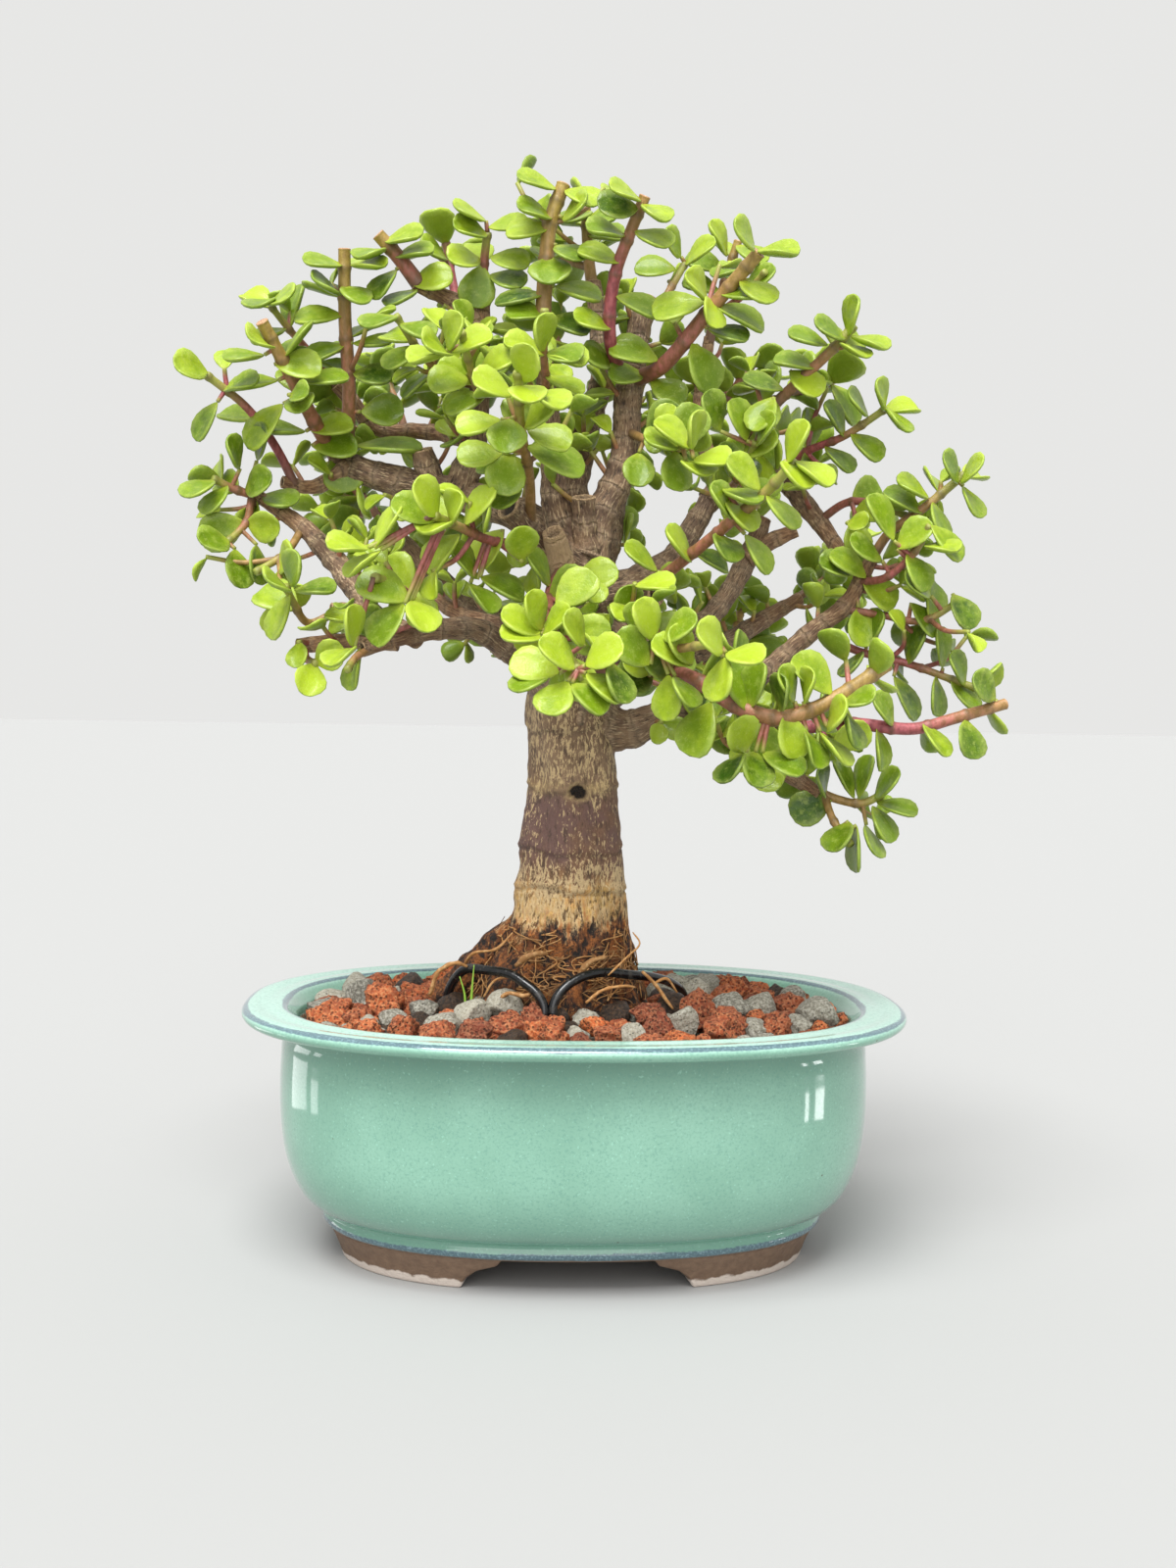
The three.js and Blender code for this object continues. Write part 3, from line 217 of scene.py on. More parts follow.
class Finish:
    """One procedural material."""

    def __init__(self, name):
        self.material = bpy.data.materials.new(name)
        self.material.use_nodes = True
        self.tree = self.material.node_tree
        self.shader = self.tree.nodes["Principled BSDF"]

    def node(self, kind, settings=None, inputs=None, output=0):
        made = self.tree.nodes.new(kind)
        for key, value in (settings or {}).items():
            setattr(made, key, value)
        for key, value in (inputs or {}).items():
            self.feed(made.inputs[key], value)
        return Wire(self, made.outputs[output])

    def feed(self, socket, value):
        """Links a wire, or sets a number, a vector, or a colour written as six hexadecimal digits."""
        if isinstance(value, Wire):
            self.tree.links.new(value.socket, socket)
        else:
            socket.default_value = linear(value) if isinstance(value, str) else value

    def set(self, **values):
        """Sets the shader's own sockets. An underscore stands for a space in a socket's name."""
        for key, value in values.items():
            self.feed(self.shader.inputs[key.replace("_", " ")], value)
        return self

    def mark(self, name):
        return self.node("ShaderNodeAttribute", {"attribute_name": name}, output="Fac")

    def place(self, scale=(1, 1, 1)):
        """Object coordinates in millimetres, stretched by scale."""
        coordinates = self.node("ShaderNodeTexCoord", output="Object")
        inputs = {"Vector": coordinates, "Scale": tuple(s / MM for s in scale)}
        return self.node("ShaderNodeMapping", None, inputs)

    def grain(self, scale=(1, 1, 1)):
        """Coordinates in millimetres that follow the wood: two across it and the third along it."""
        marks = {i: self.mark(name) for i, name in enumerate(("grain_x", "grain_y", "grain_z"))}
        vector = self.node("ShaderNodeCombineXYZ", None, marks)
        return self.node("ShaderNodeMapping", None, {"Vector": vector, "Scale": scale})

    def height(self):
        """Height above the feet's level in millimetres."""
        return self.node("ShaderNodeSeparateXYZ", None, {0: self.place()}, output="Z")

    def noise(self, size, detail=3.0, rough=0.55, stretch=(1, 1, 1), along=False):
        """Fractal noise from 0 to 1 with spots about size millimetres across."""
        vector = self.grain(stretch) if along else self.place(stretch)
        inputs = {"Vector": vector, "Scale": 1 / size, "Detail": detail, "Roughness": rough}
        return self.node("ShaderNodeTexNoise", None, inputs, output="Fac")

    def cells(self, size):
        """Distance from the nearest of scattered points that stand about size millimetres apart, as a
        share of that size."""
        inputs = {"Vector": self.place(), "Scale": 1 / size}
        return self.node("ShaderNodeTexVoronoi", {"feature": "F1"}, inputs, output="Distance")

    def mix(self, share, first, second):
        """The first colour where share is 0 and the second where it is 1."""
        inputs = {0: share, 6: first, 7: second}
        return self.node("ShaderNodeMix", {"data_type": "RGBA"}, inputs, output=2)

    def layers(self, tint, *layers):
        """A colour under layers. Each is a share and the colour that covers that share of what is there."""
        for share, cover in layers:
            tint = self.mix(share, tint, cover)
        return tint

    def relief(self, *layers):
        """A normal from layers of relief, each a height from 0 to 1 and the millimetres 1 stands for."""
        below = {}
        for height, depth in layers:
            inputs = {"Height": height, "Distance": depth * MM, "Strength": 1.0, **below}
            below = {"Normal": self.node("ShaderNodeBump", None, inputs)}
        return below["Normal"]


def linear(code):
    """Linear light of a colour written as six hexadecimal digits, with full alpha."""
    shares = np.array([int(code[i:i + 2], 16) for i in (0, 2, 4)]) / 255
    return (*np.where(shares < 0.04045, shares / 12.92, ((shares + 0.055) / 1.055) ** 2.4).tolist(), 1)


# ---------------- finishes


def celadon_glaze():
    """Sea-green glaze with fine specks. It breaks blue where it runs thin over an edge, and stops
    above the feet, which are bare brown clay worn pale where they touch. Painted shade darkens the
    low body and the wall under the lip, and painted light brightens the lip's flat top."""
    f = Finish("pot_glaze")
    height = f.height()
    # Painted shade down the wall under the lip, where the glaze also pools a little in the crease.
    painted_shade_under_lip = height.ramp(62, 75.5) * height.ramp(77.5, 76.2)
    thin = (f.mark("thin") + (f.noise(1.1) - 0.5) * 0.5 + (f.noise(22, 2) - 0.5) * 0.7).ramp(0.35, 0.65)
    cloud = f.noise(30, 2).ramp(0.3, 0.7)
    speck = f.noise(0.8, 3, 0.7).ramp(0.46, 0.68)
    pale = f.noise(0.9, 2).ramp(0.62, 0.74)
    pinhole = f.cells(9).ramp(0.05, 0.03) * f.noise(25, 1).ramp(0.52, 0.56)
    glaze = f.layers(
        f.mix(cloud, "78a490", "83af9b"),
        # Painted shade: the glaze darker towards the bottom of the body.
        (height.ramp(36, 14) * 0.6, "5f8c7b"),
        # Painted shade under the lip.
        (painted_shade_under_lip * 0.5, "4b7565"),
        # Painted light on the lip's upward-facing flat top, which is also a little bluer.
        (height.ramp(79, 81) * 0.7, "afd6c8"),
        (speck * 0.5, "608f81"),
        (pale * 0.3, "a9dcc6"),
        (thin * 0.85, f.mix(speck, "3f5264", "6f8894")),
        (pinhole * 0.85, "4d4238"),
    )
    worn = (height + (f.noise(6, 4) - 0.5) * 5).ramp(3.2, 2.3)
    clay = f.layers(f.mix(f.noise(2.2, 5), "554033", "836a54"), (worn * 0.9, "d6c9be"))
    bare = (height + (f.noise(9, 2) - 0.5) * 0.8).ramp(11.6, 11.2)
    f.set(Base_Color=f.mix(bare, glaze, clay), Roughness=bare * 0.72 + (1 - bare) * (0.06 + speck * 0.05))
    f.set(Coat_Weight=(1 - bare) * 0.3, Coat_Roughness=0.04, IOR=1.5)
    return f.set(Normal=f.relief((f.noise(16, 1), 0.12), (bare * f.noise(0.9, 5), 0.35))).material


def old_bark():
    """Bark by height. Pale upright flecks lie thick on brown above, thin out over smooth purple-brown
    skin, and run together below into straw-coloured skin with dark cracks. Under that come orange-brown
    lumps with pale streaks, partly painted highlight, and painted shade, near black, in the hollows.
    A pale band follows the ring scar at the knot."""
    f = Finish("old_bark")
    upright = (1, 1, 0.3)
    streak = f.noise(0.75, 3, 0.7, stretch=upright)
    crack = f.noise(1.5, 5, 0.7, stretch=upright)
    patch = f.noise(6, 4, 0.6, stretch=(1, 1, 0.55))
    cloud = f.noise(15, 2)
    fine = f.noise(0.6, 3, 0.7)
    lump = f.noise(4, 5, 0.62)
    z = f.height() + (patch - 0.5) * 22 + (streak - 0.5) * 9
    low = z.ramp(120, 107)
    thick = z.ramp(143, 158) * 0.55 + z.ramp(136, 122) * 0.8 + 0.16
    fleck = (streak + (patch - 0.5) * 0.5 + thick * 0.17).ramp(0.62, 0.68)
    brown = f.mix(cloud.ramp(0.4, 0.6), "7d624a", "907459")
    purple = f.mix(cloud.ramp(0.42, 0.6), "7a5841", "70524a")
    straw = f.mix(cloud.ramp(0.4, 0.6), "dcaa68", "c6a160")
    skin = f.layers(
        f.mix(z.ramp(146, 157), purple, brown),
        (z.ramp(124.5, 115), straw),
        (crack.ramp(0.47, 0.36) * 0.75, "4a3628"),
        (fleck * 0.85, f.mix(fine, "b4946a", "ecd2a0")),
        (z.ramp(130, 120) * crack.ramp(0.5, 0.42) * 0.45, "6e5334"),
        (low * crack.ramp(0.5, 0.62), "a8672f"),
        (low * crack.ramp(0.46, 0.4) * 0.8, "3b2414"),
    )
    root = f.layers(
        f.mix(crack.ramp(0.42, 0.58), "1c0f08", "6f4120"),
        (lump.ramp(0.5, 0.6) * fine.ramp(0.3, 0.6) * 0.85, "a5622b"),
        # Pale streaks on the raised flare, partly painted highlight.
        (streak.ramp(0.6, 0.7) * 0.6, "cf9a55"),
        # Painted shade: near black in the hollows between the lumps.
        (lump.ramp(0.45, 0.37), "190f0a"),
    )
    tint = f.layers(
        f.mix((z + (lump - 0.5) * 16).ramp(104.5, 112.5), root, skin),
        (f.mark("scar") * 0.5, "3a2c22"),
        (f.mark("pale") * (0.3 + streak), "c8ab78"),
        (f.mark("knot").ramp(0.2, 0.7), f.mix(fine.ramp(0.45, 0.6), "0d0907", "3c2c1c")),
    )
    relief = f.relief((crack, 0.8), (streak, 0.5), (lump * z.ramp(112, 104), 1.6))
    roughness = 0.5 + crack * 0.3 + z.ramp(118, 108) * 0.15
    return f.set(Base_Color=tint, Roughness=roughness, Normal=relief).material


def limb_bark():
    """Bark of the limbs: long pale and dark streaks on grey-brown, browner where the wood is young,
    with a dark line and a pale band at each ring scar. Cuts are pale."""
    f = Finish("limb_bark")
    streak = f.noise(0.8, 4, 0.68, stretch=(1, 1, 0.25), along=True)
    crack = f.noise(1.6, 4, 0.65, stretch=(1, 1, 0.4), along=True)
    patch = f.noise(6, 3, 0.6)
    fine = f.noise(0.6, 4, 0.7)
    ring = ((f.mark("grain_z") + (patch - 0.5) * 6) * (1 / SCAR_EVERY)).from_line() * SCAR_EVERY
    old = f.layers(
        f.mix(patch.ramp(0.36, 0.64), "6b5341", "8f7358"),
        (crack.ramp(0.48, 0.36) * 0.85, "3a2b21"),
        (streak.ramp(0.53, 0.64) * 0.8, "cbb08b"),
    )
    tint = f.layers(
        old,
        (f.mark("young"), f.mix(streak.ramp(0.4, 0.6), "7a5740", "ae8560")),
        (ring.ramp(2.4, 1.0) * 0.4 * streak, "c9b190"),
        (ring.ramp(0.5, 0.1) * (crack * 3 - 1.1).ramp(0, 1) * 0.7, "3d3026"),
        (f.mark("pale") * 0.75, "cfae86"),
        (f.mark("cut"), f.mix(fine.ramp(0.4, 0.6), "cdae86", "947757")),
        (f.mark("hollow") * 0.92, "1d1510"),
    )
    relief = f.relief((crack, 1.1), (streak, 0.5), (ring.ramp(0.1, 0.8), 0.35))
    return f.set(Base_Color=tint, Roughness=0.55 + crack * 0.35, Normal=relief).material


def young_stem():
    """Skin of this year's stems: olive or wine-red, browner towards the foot, with a corky pruned
    end."""
    f = Finish("young_stem")
    streak = f.noise(1.6, 3, stretch=(1, 1, 0.5))
    fine = f.noise(0.5, 2)
    olive = f.mix(streak.ramp(0.35, 0.65), "8a6f35", "a38c45")
    wine = f.mix(streak.ramp(0.35, 0.65), "843b43", "ab5a5f")
    skin = f.layers(
        f.mix((f.mark("red") + (streak - 0.5) * 0.5).ramp(0.15, 0.85), olive, wine),
        (f.mark("foot") * 0.85, "6b5443"),
        (f.mark("fresh") * 0.8, "97a843"),
        (f.mark("scar") * 0.6, "5b4a30"),
        (f.mark("cut"), f.mix(fine.ramp(0.4, 0.6), "9a6a4c", "c9a27c")),
    )
    return f.set(Base_Color=skin, Roughness=0.4 + fine * 0.15, Normal=f.relief((fine, 0.12))).material


def leaf_skin():
    """Waxy leaf skin: yellow-green when young and deeper green with age, with a pale raised rim,
    a greyer underside, a pale bloom in patches and fine pale dots."""
    f = Finish("leaf_skin")
    mottle = f.noise(4.5, 4, 0.6)
    dots = f.noise(0.45, 1).ramp(0.6, 0.75)
    bloom = f.noise(2.2, 4, 0.65).ramp(0.5, 0.7)
    tone = f.mark("tone") + (mottle - 0.5) * 0.7
    skin = f.layers(
        f.mix(tone.ramp(0.0, 0.45), "2d4b07", "6a8512"),
        (tone.ramp(0.42, 0.95), "9cb128"),
        (bloom * 0.3, "aebb5c"),
        (f.mark("under") * 0.5, "738c34"),
        (f.mark("rim") * 0.3, "bccb68"),
        (f.mark("stalk") * 0.5, "a9b63c"),
        (dots * 0.16, "d4e08c"),
    )
    relief = f.relief((mottle, 0.35), (f.noise(1.1, 3), 0.1), (f.noise(0.5, 2), 0.05))
    f.set(Base_Color=skin, Roughness=0.3 + mottle * 0.2, Normal=relief)
    f.set(Subsurface_Weight=0.1, Subsurface_Radius=(0.6, 1.0, 0.2), Subsurface_Scale=0.0015)
    return f.set(Coat_Weight=0.14, Coat_Roughness=0.12, IOR=1.42, Specular_IOR_Level=0.35).material


def porous_stone():
    """Volcanic stones. The kind runs from 0, brick-red lava full of holes, through 0.5, grey pumice
    with dark pits, to 1, wet dark crumbs. The tone makes each stone lighter or darker."""
    f = Finish("porous_stone")
    kind, tone = f.mark("kind"), f.mark("tone")
    grain = f.noise(0.9, 6, 0.72)
    clump = f.noise(2.6, 4, 0.65)
    holes = f.cells(1.2).ramp(0.42, 0.25) * clump.ramp(0.35, 0.5)
    pits = f.cells(1.3).ramp(0.22, 0.12) * clump.ramp(0.4, 0.5)
    wet = kind.ramp(0.7, 0.8)
    red = f.layers(
        f.mix(tone, "7a3a26", "cc6431"),
        # Pale grains on the raised relief of the lava, partly painted highlight.
        (grain.ramp(0.42, 0.62) * 0.75, f.mix(tone, "b57a59", "e5a26a")),
        (clump.ramp(0.5, 0.38) * 0.55, "6e2a1a"),
        (holes * 0.75, "34140c"),
    )
    grey = f.layers(
        f.mix(tone, "6a675c", "aaa492"),
        (grain.ramp(0.44, 0.6) * 0.55, "cfccbf"),
        (grain.ramp(0.44, 0.34) * 0.6, "4b4842"),
        (pits * 0.85, "2f2c29"),
    )
    crumb = f.mix(grain.ramp(0.38, 0.62), "130e0a", "4f3a28")
    porous = (holes * kind.ramp(0.3, 0.2)).larger(pits * 0.7)
    f.set(Base_Color=f.layers(red, (kind.ramp(0.2, 0.3), grey), (wet, crumb)), Roughness=0.9 - wet * 0.4)
    return f.set(Normal=f.relief((clump, 1.2), (grain, 0.9), (1 - porous, 0.9))).material


def fibre():
    """Dry root fibre, straw to orange-brown."""
    f = Finish("root_fibre")
    grain, tone = f.noise(1.4, 3), f.mark("tone")
    # The pale grain on the lighter fibres is partly painted highlight.
    tint = f.layers(f.mix(tone, "2c180b", "bd864a"), (grain.ramp(0.45, 0.7) * tone * 0.6, "e6c088"))
    return f.set(Base_Color=tint, Roughness=0.72, Normal=f.relief((grain, 0.3))).material


def black_tubing():
    """Shiny black tubing with a dusty bloom."""
    f = Finish("black_tubing")
    dust = f.noise(2.5, 4).ramp(0.5, 0.75)
    f.set(Base_Color=f.mix(dust * 0.35, "0d0e10", "5a544b"), Roughness=0.2 + dust * 0.45)
    return f.set(Normal=f.relief((f.noise(1.2), 0.06))).material


def mesh_plastic():
    """Dark green plastic with a fine grain."""
    f = Finish("screen_plastic")
    grain = f.noise(0.6, 3)
    f.set(Base_Color=f.mix(grain, "151b18", "2b3430"), Roughness=0.5 + grain * 0.2)
    return f.set(Normal=f.relief((grain, 0.08))).material


def damp_soil():
    """Dark crumbly soil with pale grit."""
    f = Finish("damp_soil")
    crumb = f.noise(2.4, 6, 0.7)
    grit = f.cells(1.9).ramp(0.2, 0.1) * f.noise(4, 1).ramp(0.5, 0.6)
    tint = f.layers(f.mix(crumb.ramp(0.35, 0.65), "1c130d", "56402e"), (grit * 0.7, "9c8f7d"))
    return f.set(Base_Color=tint, Roughness=0.75 + crumb * 0.2, Normal=f.relief((crumb, 1.2))).material


def blade_green():
    """Fresh grass."""
    f = Finish("blade_green")
    streak = f.noise(0.8, 2, stretch=(1, 1, 0.15))
    return f.set(Base_Color=f.mix(streak, "5f8f24", "9cc24a"), Roughness=0.4).material


def pale_floor():
    """Matt pale floor."""
    f = Finish("pale_floor")
    return f.set(Base_Color=FLOOR_COLOUR, Roughness=1.0, Specular_IOR_Level=0.1).material


# ---------------- surfaces

DRAW_WAVES, LUMP_WAVES = (12.9898, 78.233, 37.719), (127.1, 311.7, 74.7, 53.3)
SCATTER = 43758.5453
CURVE_FINENESS = 3  # points a millimetre before a curve is taken again at even steps


def scattered(keys, waves):
    """Numbers from 0 to 1 that depend only on their keys: what is left above the whole number of a large
    multiple of the sine of the keys' weighted sum."""
    wave = np.sin(sum(key * weight for key, weight in zip(keys, waves))) * SCATTER
    return wave - np.floor(wave)


def draw(*keys):
    """A number from 0 to 1 that depends only on its three keys."""
    return scattered(keys, DRAW_WAVES)


def mix(low, high, share):
    return low + (high - low) * share


def unit(vectors):
    return vectors / np.linalg.norm(vectors, axis=-1, keepdims=True)


def smoothstep(low, high, value):
    share = np.clip((value - low) / (high - low), 0, 1)
    return share * share * (3 - 2 * share)


def bell(value, width):
    """1 at a value of 0, and falling on both sides, to 0.37 at the width."""
    return np.exp(-(value / width) ** 2)


def lumps(points, size, seed=0):
    """Smooth noise from -1 to 1: a number drawn for each corner of a cubic lattice of that size in
    millimetres, blended across each cube by smooth steps."""
    spread = np.asarray(points) / size
    low = np.floor(spread)
    share = spread - low
    share = share * share * (3 - 2 * share)
    total = np.zeros(spread.shape[:-1])
    for corner in np.ndindex(2, 2, 2):
        weight = np.prod(np.where(corner, share, 1 - share), axis=-1)
        total += weight * scattered((*np.moveaxis(low + corner, -1, 0), seed), LUMP_WAVES)
    return 2 * total - 1


def all_lumps(points, layers):
    """The sum of lumps, each given as [depth, size, seed]."""
    return sum(depth * lumps(points, size, seed) for depth, size, seed in layers)


def points_at(x, y, z):
    """Points from coordinates that stretch to each other's shape."""
    return np.stack(np.broadcast_arrays(x, y, z), axis=-1)


def full_turn(sides):
    """Angles of evenly spaced sides round a ring."""
    return 2 * np.pi * np.arange(sides) / sides


def around(first, second, turn):
    """The direction at a turn from the first of two square directions towards the second."""
    return first * math.cos(turn) + second * math.sin(turn)


def smooth_path(points, step):
    """Cubic curve through the points, whose direction at each is the mean slope of its two chords,
    taken again at even steps of its length. Columns after the third are carried along."""
    points = np.array(points, float)
    gaps = np.linalg.norm(np.diff(points[:, :3], axis=0), axis=1)
    knots = np.concatenate([[0], np.cumsum(gaps)])
    slopes = np.gradient(points, knots, axis=0)
    fine = np.linspace(0, knots[-1], int(knots[-1] * CURVE_FINENESS) + 8)
    i = np.clip(np.searchsorted(knots, fine, side="right") - 1, 0, len(gaps) - 1)
    gap = gaps[i][:, None]
    t = (fine[:, None] - knots[i][:, None]) / gap
    curve = (1 + 2 * t) * (1 - t) ** 2 * points[i] + t * (1 - t) ** 2 * gap * slopes[i]
    curve += t * t * (3 - 2 * t) * points[i + 1] + t * t * (t - 1) * gap * slopes[i + 1]
    reach = np.concatenate([[0], np.cumsum(np.linalg.norm(np.diff(curve[:, :3], axis=0), axis=1))])
    even = np.linspace(0, reach[-1], max(int(round(reach[-1] / step)) + 1, 3))
    return np.stack([np.interp(even, reach, column) for column in curve.T], axis=1)


def ring_faces(rings, sides, closed=False):
    """Quads between neighbouring rings of points, which run round counterclockwise as they climb. Where
    it is closed, the last ring joins the first."""
    ring = np.arange(rings if closed else rings - 1)[:, None]
    this, following = ring * sides, (ring + 1) % rings * sides
    side = np.arange(sides)[None, :]
    after = (side + 1) % sides
    quads = [this + side, this + after, following + after, following + side]
    return np.stack(quads, axis=-1).reshape(-1, 4)


def tube_rings(path, radius, sides):
    """Rings of points round a path. Each ring stands square to the path, and its first side is the
    direction of the axis that the path follows least, laid flat on the ring."""
    ahead = unit(np.gradient(path[:, :3], axis=0))
    axis = np.eye(3)[np.argmin(np.abs(ahead).max(0))]
    side = unit(axis - (ahead @ axis)[:, None] * ahead)
    up = np.cross(ahead, side)
    turn = full_turn(sides)[None, :, None]
    circle = np.cos(turn) * side[:, None] + np.sin(turn) * up[:, None]
    return path[:, None, :3] + circle * radius[:, None, None]


def roughened(rings, path, bumps):
    """The rings of a tube, moved out from its path by a share of their distance from it."""
    centre = path[:, None, :3]
    return centre + (rings - centre) * (1 + bumps)[..., None]


def cut_off(rings, path, section, size=1):
    """The rings of a tube and more that round off its end: its last ring drawn in to a share and moved
    ahead by a rise times the size, for each [share, rise] of the section."""
    end = path[-1, :3]
    ahead = unit(end - path[-3, :3])
    tail = rings[-1] - end
    return np.concatenate([rings, [end + tail * share + ahead * rise * size for share, rise in section]])


class Skin:
    """The closed surfaces of one piece, with a number for each mark on every point."""

    def __init__(self, *marks):
        self.marks = {mark: [] for mark in marks}
        self.points, self.count = [], 0
        self.quads, self.triangles = [np.zeros((0, 4), int)], [np.zeros((0, 3), int)]

    def add(self, points, quads=None, triangles=None, **marks):
        """More points and their faces. A mark that isn't given is 0."""
        points = np.asarray(points, float).reshape(-1, 3)
        for mark, values in self.marks.items():
            values.append(np.broadcast_to(np.asarray(marks.get(mark, 0.0), float).ravel(), len(points)))
        if quads is not None:
            self.quads.append(quads + self.count)
        if triangles is not None:
            self.triangles.append(triangles + self.count)
        self.points.append(points)
        self.count += len(points)

    def add_rings(self, rings, start=None, end=None, **marks):
        """A closed tube of rings. Each end closes on a point, by default the middle of its ring."""
        rings = np.asarray(rings, float)
        count, sides = rings.shape[:2]
        poles = [rings[0].mean(0) if start is None else start, rings[-1].mean(0) if end is None else end]
        side = np.arange(sides)
        after = (side + 1) % sides
        last = (count - 1) * sides
        triangles = np.concatenate([
            np.stack([np.full(sides, count * sides), after, side], axis=1),
            np.stack([np.full(sides, count * sides + 1), last + side, last + after], axis=1),
        ])
        spread = {}
        for mark, values in marks.items():
            values = np.broadcast_to(np.asarray(values, float), (count, sides))
            spread[mark] = np.concatenate([values.ravel(), [values[0].mean(), values[-1].mean()]])
        points = np.concatenate([rings.reshape(-1, 3), poles])
        self.add(points, ring_faces(count, sides), triangles, **spread)

    def object(self, name, material, slot_name, nodes=()):
        """Makes the piece in the frame's metres, riding on the part."""
        faces = np.concatenate(self.quads).tolist() + np.concatenate(self.triangles).tolist()
        mesh = bpy.data.meshes.new(name)
        mesh.from_pydata(np.concatenate(self.points) * MM + POT_CENTRE, [], faces)
        mesh.shade_smooth()
        for mark, values in self.marks.items():
            layer = mesh.attributes.new(mark, "FLOAT", "POINT")
            layer.data.foreach_set("value", np.concatenate(values).astype(np.float32))
        mesh.materials.append(material)
        piece = add_object(name, mesh)
        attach(piece, "root")
        if nodes:
            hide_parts(*nodes)
        return piece


# ---------------- pot

SETBACK = 26.7  # half length minus half width of the pot's oval, the same at every height
FULLNESS = 2.38  # exponent of the oval: 2 is an ellipse, more is fuller at the corners
SPACED_AT = 95.0  # half length of the oval round which columns are evenly spaced
POT_STEP, POT_COLUMNS, OVAL_FINENESS = 1.1, 176, 20001
DRAIN_RADIUS, DRAIN_PLACE = 9, 38
DRAIN_SIDES, DRILL_HEIGHTS = 48, (5.0, 25.0)
FLOOR_TOP = 17

# Wall section: [half length, height] from under the floor, up the outside, over the lip, down inside.
WALL = [
    [74, 10.5], [79.6, 10.5], [80.8, 11.1], [82, 12.4], [81.9, 13.8], [80.9, 14.9], [81.6, 16],
    [84.6, 17.5], [88.4, 21], [91.6, 26.6], [93.9, 33.5], [95.2, 41.5], [95.8, 50], [95.8, 59],
    [95.4, 68], [95.3, 72.6], [96.1, 75.1], [99, 76.2], [104, 76.8], [106.9, 77.5], [107.9, 78.7],
    [107.9, 80], [107.1, 81], [105.4, 81.4], [100, 81.1], [95.6, 81.3], [94, 81], [93.2, 80], [91.6, 78],
    [90, 75.4], [89.5, 70], [89.5, 55], [89.5, 40], [87.5, 30], [84, 24], [80, 19], [76, FLOOR_TOP],
    [58, FLOOR_TOP], [40, FLOOR_TOP],
]
# Where the glaze runs thin, as [half length, height], and how far from there.
THIN_SPOTS, THIN_REACH = [[107, 81], [94.2, 81.2], [82, 12.6], [81.4, 11.4]], 1.15
FOOT_OUTER, FOOT_INNER = [75.9, 80.6], [61, 64]  # half lengths at the ground and at the top
FOOT_RISE, FOOT_SPLAY = 11.6, 1.3  # height, and the power of the height with which it widens
FOOT_COLUMNS = 720
FOOT_EDGE = 0.8  # rounding
# Rows of the foot, from its edge up: [rise and inset as shares of the rounding, share of the way up].
FOOT_ROWS = [[0, 1, 0], [0.25, 0.25, 0], [1, 0, 0], [1, 0, 0.35], [1, 0, 0.7], [1, 0, 1]]
FRONT_ARCH, END_ARCH = 36, 15  # half spans
ARCH_IN, ARCH_UP = [0, 1.5, 5.5, 12, 14], [0, 3, 6.2, 8.4, 10.9]  # arch height by the way in from a foot


def oval(half_length, turn, half_width=None):
    """Superellipse point: each half axis times its cosine or sine raised to 2 over the fullness."""
    half_width = half_length - SETBACK if half_width is None else half_width
    c, s = np.cos(turn), np.sin(turn)
    power = 2 / FULLNESS
    return half_length * np.sign(c) * np.abs(c) ** power, half_width * np.sign(s) * np.abs(s) ** power


def even_turns(columns):
    """Oval parameters of evenly spaced columns."""
    fine = np.linspace(0, 2 * np.pi, OVAL_FINENESS)
    x, y = oval(SPACED_AT, fine)
    reach = np.concatenate([[0], np.cumsum(np.hypot(np.diff(x), np.diff(y)))])
    return np.interp(np.linspace(0, reach[-1], columns, endpoint=False), reach, fine)


def make_pot():
    """Wall section swept round the oval, with two drainage holes cut through the floor, on a foot ring.
    Returns what the low lamps light."""
    section = smooth_path([[a, 0, z] for a, z in WALL], POT_STEP)[:, [0, 2]]
    thin = np.max([bell(np.hypot(*(section - spot).T), THIN_REACH) for spot in THIN_SPOTS], axis=0)
    rings = points_at(*oval(section[:, :1], even_turns(POT_COLUMNS)), section[:, 1:])
    skin = Skin("thin")
    skin.add_rings(rings, [0, 0, WALL[0][1]], [0, 0, FLOOR_TOP], thin=thin[:, None])
    glaze = celadon_glaze()
    pot = skin.object("glazed_pot", glaze, "celadon_glaze", ["pot"])
    for side in (-1, 1):
        cut_drain_hole(pot, side * DRAIN_PLACE)
    make_foot(glaze)
    glazed = bpy.data.collections.new("glazed")
    glazed.objects.link(pot)
    return glazed


def cut_drain_hole(pot, place):
    """A round drill, taken away from the pot."""
    turn = full_turn(DRAIN_SIDES)
    x, y = place + DRAIN_RADIUS * np.cos(turn), DRAIN_RADIUS * np.sin(turn)
    drill = Skin()
    drill.add_rings([points_at(x, y, z) for z in DRILL_HEIGHTS])
    cutter = drill.object("drill", pot.data.materials[0], "celadon_glaze")
    cut = pot.modifiers.new("drain", "BOOLEAN")
    cut.operation, cut.object, cut.solver = "DIFFERENCE", cutter, "EXACT"
    bpy.context.view_layer.update()
    seen = pot.evaluated_get(bpy.context.evaluated_depsgraph_get())
    mesh = bpy.data.meshes.new_from_object(seen)
    pot.modifiers.clear()
    pot.data = mesh
    bpy.data.objects.remove(cutter)


